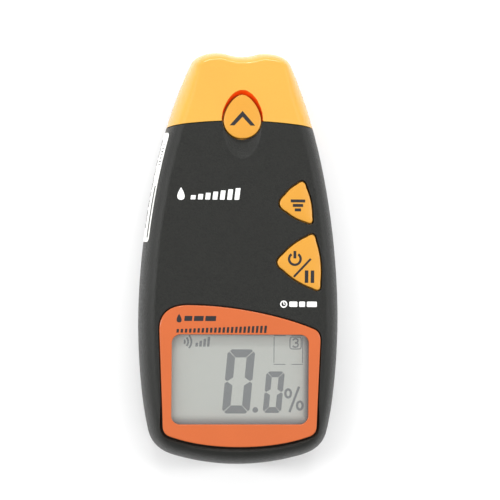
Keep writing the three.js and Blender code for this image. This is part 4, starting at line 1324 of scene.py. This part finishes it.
def display_marks():
    """What the display shows: two digits, a percent sign, a frame with a small number and a
    reading sign."""
    lean = math.tan(math.radians(5))
    marks = digit_zero(-6.0, -52.1, 9.3, 21.6, 2.7, lean)
    marks += digit_zero(7.8, -51.9, 6.2, 14.0, 1.95, lean)
    marks.append(blob(circle(5.3, -50.9, 0.95, 24)))
    for x, y in ((16.4, -45.3), (20.4, -49.4)):
        marks.append(stroke(circle(0, 0, 1, 32) * [0.95, 1.35] + [x, y], 0.8, True))
    marks.append(stroke([(16.9, -51.6), (20.1, -43.0)], 0.8))
    for x0, x1 in ((11.4, 15.4), (17.4, 21.3)):
        marks.append(stroke([(x0, -25.8), (x1, -25.8)], 0.26))
        marks.append(stroke([(x0, -35.5), (x1, -35.5)], 0.26))
    for x in (11.5, 21.2):
        marks.append(stroke([(x, -35.0), (x, -26.3)], 0.26))
    marks.append(stroke(rounded_rectangle(16.9, 20.7, -30.3, -26.3, 0.7, 4), 0.36, True))
    top = [(17.9, -27.3), (18.3, -26.95), (18.9, -26.85), (19.5, -27.1), (19.6, -27.6)]
    foot = [(19.7, -28.8), (19.5, -29.4), (18.9, -29.7), (18.2, -29.6), (17.8, -29.2)]
    marks.append(stroke([*top, (19.3, -28.05), (18.6, -28.15)], 0.55))
    marks.append(stroke([(18.6, -28.25), (19.35, -28.35), *foot], 0.55))
    for radius in (1.0, 2.1, 3.2):
        marks.append(stroke(arc(-19.6, -28.0, radius, -42, 42, 12), 0.6))
    for number in range(4):
        x = -15.1 + number * 1.3
        marks.append(bar(x, x + 0.85, -29.6, -28.3 + number * 0.65, lean))
    return marks


# ------------------------------------------------------------------ printed marks
def up_marks():
    """A broad chevron that points to the head."""
    tip, foot, thick = 49.6, 44.7, 2.0
    return [blob([(-4.3, foot), (-2.7, foot), (0, tip - thick), (2.7, foot), (4.3, foot), (0, tip)])]


def power_marks():
    """The sign for on and off, a slash, and the sign for holding a reading."""
    x, y = 18.0, 0.1
    marks = [
        stroke(arc(x, y, 1.95, 125, 415, 40), 0.8),
        bar(x - 0.48, x + 0.48, y + 0.2, y + 2.7),
        stroke([(17.7, -5.9), (23.4, 0.2)], 0.72),
    ]
    return marks + [bar(21.4, 22.6, -7.9, -3.7), bar(23.4, 24.6, -7.9, -3.7)]


def mode_marks():
    """Three bars, each longer than the one below it."""
    middle = 18.9
    rows = ((4.9, 19.1), (3.5, 17.6), (2.1, 16.1))
    return [bar(middle - w / 2, middle + w / 2, y, y + 1.0) for w, y in rows]


def face_marks():
    """White prints on the black face: a drop with a rising scale, and a clock with bars."""
    marks = [droplet(-20.4, 19.6, 4.2)]
    for number in range(7):
        x = -17.2 + number * 2.45
        marks.append(bar(x, x + 1.6, 19.8, 21.2 + number * 0.42, 0.12, 0.15))
    x, y = 14.4, -15.1
    marks.append(stroke(circle(x, y, 1.0, 24), 0.42, True))
    marks.append(stroke([(x, y + 0.7), (x, y), (x + 0.5, y)], 0.3))
    for x0, x1 in ((16.3, 19.0), (19.6, 21.6), (22.2, 25.6)):
        marks.append(bar(x0, x1, -16.0, -14.2, 0.0, 0.3))
    return marks


def bezel_marks():
    """Dark prints on the bezel: a drop with bars, and a scale of rising ticks."""
    marks = [droplet(-20.7, -21.4, 2.9)]
    for x0, x1 in ((-19.0, -16.4), (-15.8, -12.6), (-12.0, -8.4)):
        marks.append(bar(x0, x1, -20.9, -19.2, 0.1, 0.2))
    for number in range(22):
        x = -21.6 + number * 1.4
        marks.append(bar(x, x + 0.8, -24.8, -23.6 + number * 0.06, 0.1, 0.1))
    return marks


def label_marks():
    """Plain bars on the side label, and a dark band at its upper edge; points are (y, z)."""
    marks = []
    y1, z0, z1 = LABEL_HIGH[1], LABEL_LOW[2], LABEL_HIGH[2]
    marks.append(bar(LABEL_LOW[1] + 1.5, LABEL_LOW[1] + 19, z1 - 1.9, z1 - 0.75))
    widths = (3.2, 1.8, 2.6, 4.1, 1.4, 3.0, 2.2)
    for row, z in enumerate((z0 + 1.1, z0 + 2.7, z0 + 4.3)):
        y = y1 - 2.2
        for number in range(9):
            width = widths[(number + 3 * row) % 7]
            if y - width < LABEL_LOW[1] + 2:
                break
            marks.append(bar(y - width, y, z, z + 0.85))
            y -= width + 0.8
    for number in range(7):
        y = y1 - 4 - number * 1.1
        marks.append(bar(y - 0.25 - 0.1 * (number % 3), y, z1 - 2.9, z1 - 1.0))
    return marks


# ------------------------------------------------------------------ operators
def settings():
    """The scene's sizes and colours."""
    scene = bpy.context.scene
    return scene.meter_sizes, scene.meter_colours


class METER_OT_stage(bpy.types.Operator):
    """Make the floor, the lights and the camera"""

    bl_idname = "meter.stage"
    bl_label = "Stage"

    def execute(self, context):
        scene = context.scene
        span = 3000.0
        floor = form("floor", block(-span, span, -span, span, -40, -0.02, 1.0))
        floor.data.materials.append(
            new_material(
                "matt_white_board",
                {"IOR": 1.45},
                grained(linear("#FAFAFA"), 6 * MM, 0.004, (0.85, 0.95), 0.02 * MM, 0.004),
            )
        )
        world = bpy.data.worlds.new("pale_room")
        scene.world = world
        world.use_nodes = True
        tree = world.node_tree
        way = add(tree, "ShaderNodeTexCoord").outputs["Generated"]
        height = add(tree, "ShaderNodeSeparateXYZ", inputs={"Vector": way}).outputs["Z"]
        sky = [(0.0, (1.0,) * 3 + (1,)), (0.95, (0.15,) * 3 + (1,)), (0.55, (0.85,) * 3 + (1,))]
        walls = add(tree, "ShaderNodeValToRGB", {"stops": sky}, {"Fac": height})
        tree.links.new(walls.outputs["Color"], tree.nodes["Background"].inputs["Color"])
        tree.nodes["Background"].inputs["Strength"].default_value = WALL_LIGHT
        lights = (
            ("left_strip", (-0.7, 0.1, 0.6), (0, 0, 0.02), 0.14, 1.0, 4.8),
            ("right_strip", (0.75, 0.1, 0.6), (0, 0, 0.02), 0.14, 1.0, 3.6),
            ("head_light", (0, 0.85, 0.6), (0, 0.05, 0.02), 0.7, 0.12, 5.6),
        )
        for name, place, aim, wide, tall, power in lights:
            data = bpy.data.lights.new(name, "AREA")
            data.shape = "RECTANGLE"
            data.size, data.size_y, data.energy = wide, tall, power
            lamp = bpy.data.objects.new(name, data)
            lamp.location = place
            lamp.rotation_euler = (Vector(aim) - Vector(place)).to_track_quat("-Z", "Y").to_euler()
            scene.collection.objects.link(lamp)
        lean, roll = math.radians(CAMERA_LEAN), math.radians(CAMERA_ROLL)
        back = Vector((-math.sin(lean), 0, math.cos(lean)))
        right = Vector((0, 1, 0)).cross(back).normalized()
        up = back.cross(right)
        turned_right = right * math.cos(roll) + up * math.sin(roll)
        turned_up = up * math.cos(roll) - right * math.sin(roll)
        pose = Matrix((turned_right, turned_up, back)).transposed().to_4x4()
        pose.translation = Vector(CAMERA_AIM) * MM + back * CAMERA_DISTANCE * MM
        data = bpy.data.cameras.new("camera")
        data.lens = data.sensor_width * CAMERA_DISTANCE / CAMERA_SPAN
        data.clip_start, data.clip_end = 0.01, 20.0
        camera = bpy.data.objects.new("camera", data)
        camera.matrix_world = pose
        scene.collection.objects.link(camera)
        scene.camera = camera
        scene.view_settings.view_transform = "Standard"
        return {"FINISHED"}


class METER_OT_case(bpy.types.Operator):
    """Make the two halves of the case"""

    bl_idname = "meter.case"
    bl_label = "Case halves"

    def execute(self, context):
        sizes, _ = settings()
        plastic = case_plastic()
        finish_piece(front_case(sizes), "root", "black_shell", ["front_shell"], plastic)
        finish_piece(rear_case(sizes), "root", "black_shell", ["rear_shell"], plastic)
        return {"FINISHED"}


class METER_OT_cap(bpy.types.Operator):
    """Make the orange cap over the head"""

    bl_idname = "meter.cap"
    bl_label = "Head cap"

    def execute(self, context):
        sizes, colours = settings()
        plastic = satin_abs("satin_abs_light_orange", colours.cap, (0.18, 0.27))
        # the recess wall is the cap's satin ABS in a deeper red-orange: painted shade
        wall = satin_abs("satin_abs_recess_painted_shade", colours.recess)
        cap, recess = head_cap(sizes)
        finish_piece(cap, "root", "nose", ["nose_cap"], plastic, wall)
        for face, is_painted_shade in zip(cap.data.polygons, recess):
            face.material_index = int(is_painted_shade)
        return {"FINISHED"}


class METER_OT_bezel(bpy.types.Operator):
    """Make the display bezel"""

    bl_idname = "meter.bezel"
    bl_label = "Display bezel"

    def execute(self, context):
        sizes, colours = settings()
        plastic = satin_abs("satin_abs_deep_orange", colours.bezel)
        finish_piece(bezel(sizes), "root", "bezel", ["display_bezel"], plastic)
        return {"FINISHED"}


class METER_OT_keys(bpy.types.Operator):
    """Make the three keys and the signs printed on them"""

    bl_idname = "meter.keys"
    bl_label = "Keys"

    def execute(self, context):
        sizes, colours = settings()
        plastic = satin_abs("satin_abs_amber", colours.key)
        ink = pad_ink("pad_ink_dark", colours.dark_ink)
        thickness = sizes.ink_thickness / MM
        for name, marks in (("up", up_marks()), ("mode", mode_marks()), ("power", power_marks())):
            cap = finish_piece(
                key(name, sizes), f"{name}_key", "key", [f"{name}_button"], plastic
            )
            sign = layer(f"{name}_sign", marks, on_surface(cap), -0.04, thickness, 0.5)
            finish_piece(smooth(sign), f"{name}_key", "key", [], ink)
        return {"FINISHED"}


class METER_OT_display(bpy.types.Operator):
    """Make what the display shows, and finish its glass and window"""

    bl_idname = "meter.display"
    bl_label = "Display"

    def execute(self, context):
        _, colours = settings()
        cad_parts["lcd_panel"].material_slots[0].material = display_glass()
        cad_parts["display_window"].material_slots[0].material = window_acrylic()
        marks = layer("display_segments", display_marks(), on_level(LCD_HIGH[2]), 0.0, 0.02, 50)
        film = new_material(
            "liquid_crystal_segment",
            {"IOR": 1.52},
            grained(colours.segment, 0.5 * MM, 0.05, (0.3, 0.4), 0.001 * MM),
        )
        finish_piece(marks, "root", "display", [], film)
        return {"FINISHED"}


class METER_OT_prints(bpy.types.Operator):
    """Make the prints on the face and on the bezel"""

    bl_idname = "meter.prints"
    bl_label = "Prints"

    def execute(self, context):
        sizes, colours = settings()
        thickness = sizes.ink_thickness / MM
        white = pad_ink("pad_ink_white", colours.white_ink)
        dark = pad_ink("pad_ink_dark", colours.dark_ink)
        face = layer("face_print", face_marks(), on_level(FACE_Z), -0.05, thickness, 50)
        finish_piece(face, "root", "label", [], white)
        print_ = layer("bezel_print", bezel_marks(), on_level(BEZEL_HIGH[2]), -0.05, thickness, 50)
        finish_piece(print_, "root", "label", [], dark)
        return {"FINISHED"}


class METER_OT_label(bpy.types.Operator):
    """Make the sticker on the left side"""

    bl_idname = "meter.label"
    bl_label = "Side label"

    def execute(self, context):
        sizes, colours = settings()
        paper = plain_grained("polyester_label", "#EFEFEB", 1.2 * MM, (0.32, 0.45), 0.003 * MM)
        ink = pad_ink("pad_ink_dark", colours.dark_ink)
        finish_piece(smooth(side_label(sizes)), "root", "label", ["side_label"], paper)
        marks = layer("label_print", label_marks(), on_left_wall(), 0.18, 0.215, 1.2)
        finish_piece(marks, "root", "label", [], ink)
        return {"FINISHED"}


class METER_OT_door(bpy.types.Operator):
    """Make the battery door"""

    bl_idname = "meter.door"
    bl_label = "Battery door"

    def execute(self, context):
        finish_piece(battery_door(), "door", "black_shell", ["battery_door"], case_plastic())
        return {"FINISHED"}


class METER_OT_screws(bpy.types.Operator):
    """Make the six case screws"""

    bl_idname = "meter.screws"
    bl_label = "Case screws"

    def execute(self, context):
        for number, (node, place) in enumerate(SHELL_SCREWS.items(), 1):
            screw = shell_screw(f"case_screw_{number}", place)
            finish_piece(screw, "root", "steel", [node], zinc_steel())
        return {"FINISHED"}


class METER_OT_pads(bpy.types.Operator):
    """Make the measuring pad and the battery's foam strip"""

    bl_idname = "meter.pads"
    bl_label = "Pads"

    def execute(self, context):
        rubber = plain_grained("moulded_rubber", "#26272A", 0.6 * MM, (0.7, 0.85), 0.03 * MM)
        finish_piece(sensor_pad(), "root", "rubber", ["sensor_pad"], rubber)
        foam = finish_piece(foam_pad(), "root", "foam", ["battery_foam"], foam_sheet())
        return {"FINISHED"}


class METER_OT_inner_parts(bpy.types.Operator):
    """Finish the electronics, the battery and its leads"""

    bl_idname = "meter.inner_parts"
    bl_label = "Inner parts"

    def execute(self, context):
        epoxy = plain_grained("moulded_epoxy", "#1C1C1E", 0.4 * MM, (0.45, 0.6), 0.01 * MM)
        rubber = plain_grained("moulded_rubber", "#26272A", 0.6 * MM, (0.7, 0.85), 0.03 * MM)
        red = plain_grained("red_pvc", "#B3241D", 0.5 * MM, (0.35, 0.5), 0.01 * MM)
        black = plain_grained("black_pvc", "#1F2022", 0.5 * MM, (0.35, 0.5), 0.01 * MM)
        finishes = {
            "main_board": solder_mask(),
            "lcd_frame": epoxy,
            "lcd_connector": rubber,
            "controller_chip": epoxy,
            "capacitor": epoxy,
            "battery": battery_jacket(),
            "battery_clip": rubber,
            "red_lead": red,
            "black_lead": black,
        }
        for name in ("up", "mode", "power"):
            finishes[f"{name}_switch_plunger"] = epoxy
        for name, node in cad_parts.items():
            if node.hide_render or name in ("lcd_panel", "display_window"):
                continue
            node.material_slots[0].material = finishes.get(name) or zinc_steel()
        return {"FINISHED"}


OPERATORS = (
    METER_OT_stage,
    METER_OT_case,
    METER_OT_cap,
    METER_OT_bezel,
    METER_OT_keys,
    METER_OT_display,
    METER_OT_prints,
    METER_OT_label,
    METER_OT_door,
    METER_OT_screws,
    METER_OT_pads,
    METER_OT_inner_parts,
)


class METER_PT_panel(bpy.types.Panel):
    """Sizes, colours and pieces of the moisture meter"""

    bl_idname = "METER_PT_panel"
    bl_label = "Moisture Meter"
    bl_space_type = "VIEW_3D"
    bl_region_type = "UI"
    bl_category = "Meter"

    def draw(self, context):
        layout = self.layout
        for group in (context.scene.meter_sizes, context.scene.meter_colours):
            column = layout.column()
            for name in type(group).__annotations__:
                column.prop(group, name)
        for operator in OPERATORS:
            layout.operator(operator.bl_idname)


def register():
    for item in (MeterSizes, MeterColours, *OPERATORS, METER_PT_panel):
        bpy.utils.register_class(item)
    bpy.types.Scene.meter_sizes = bpy.props.PointerProperty(type=MeterSizes)
    bpy.types.Scene.meter_colours = bpy.props.PointerProperty(type=MeterColours)


def unregister():
    del bpy.types.Scene.meter_colours
    del bpy.types.Scene.meter_sizes
    for item in (METER_PT_panel, *reversed(OPERATORS), MeterColours, MeterSizes):
        bpy.utils.unregister_class(item)


def main():
    """Builds everything."""
    register()
    for operator in OPERATORS:
        group, name = operator.bl_idname.split(".")
        getattr(getattr(bpy.ops, group), name)()


if __name__ == "__main__":
    main()
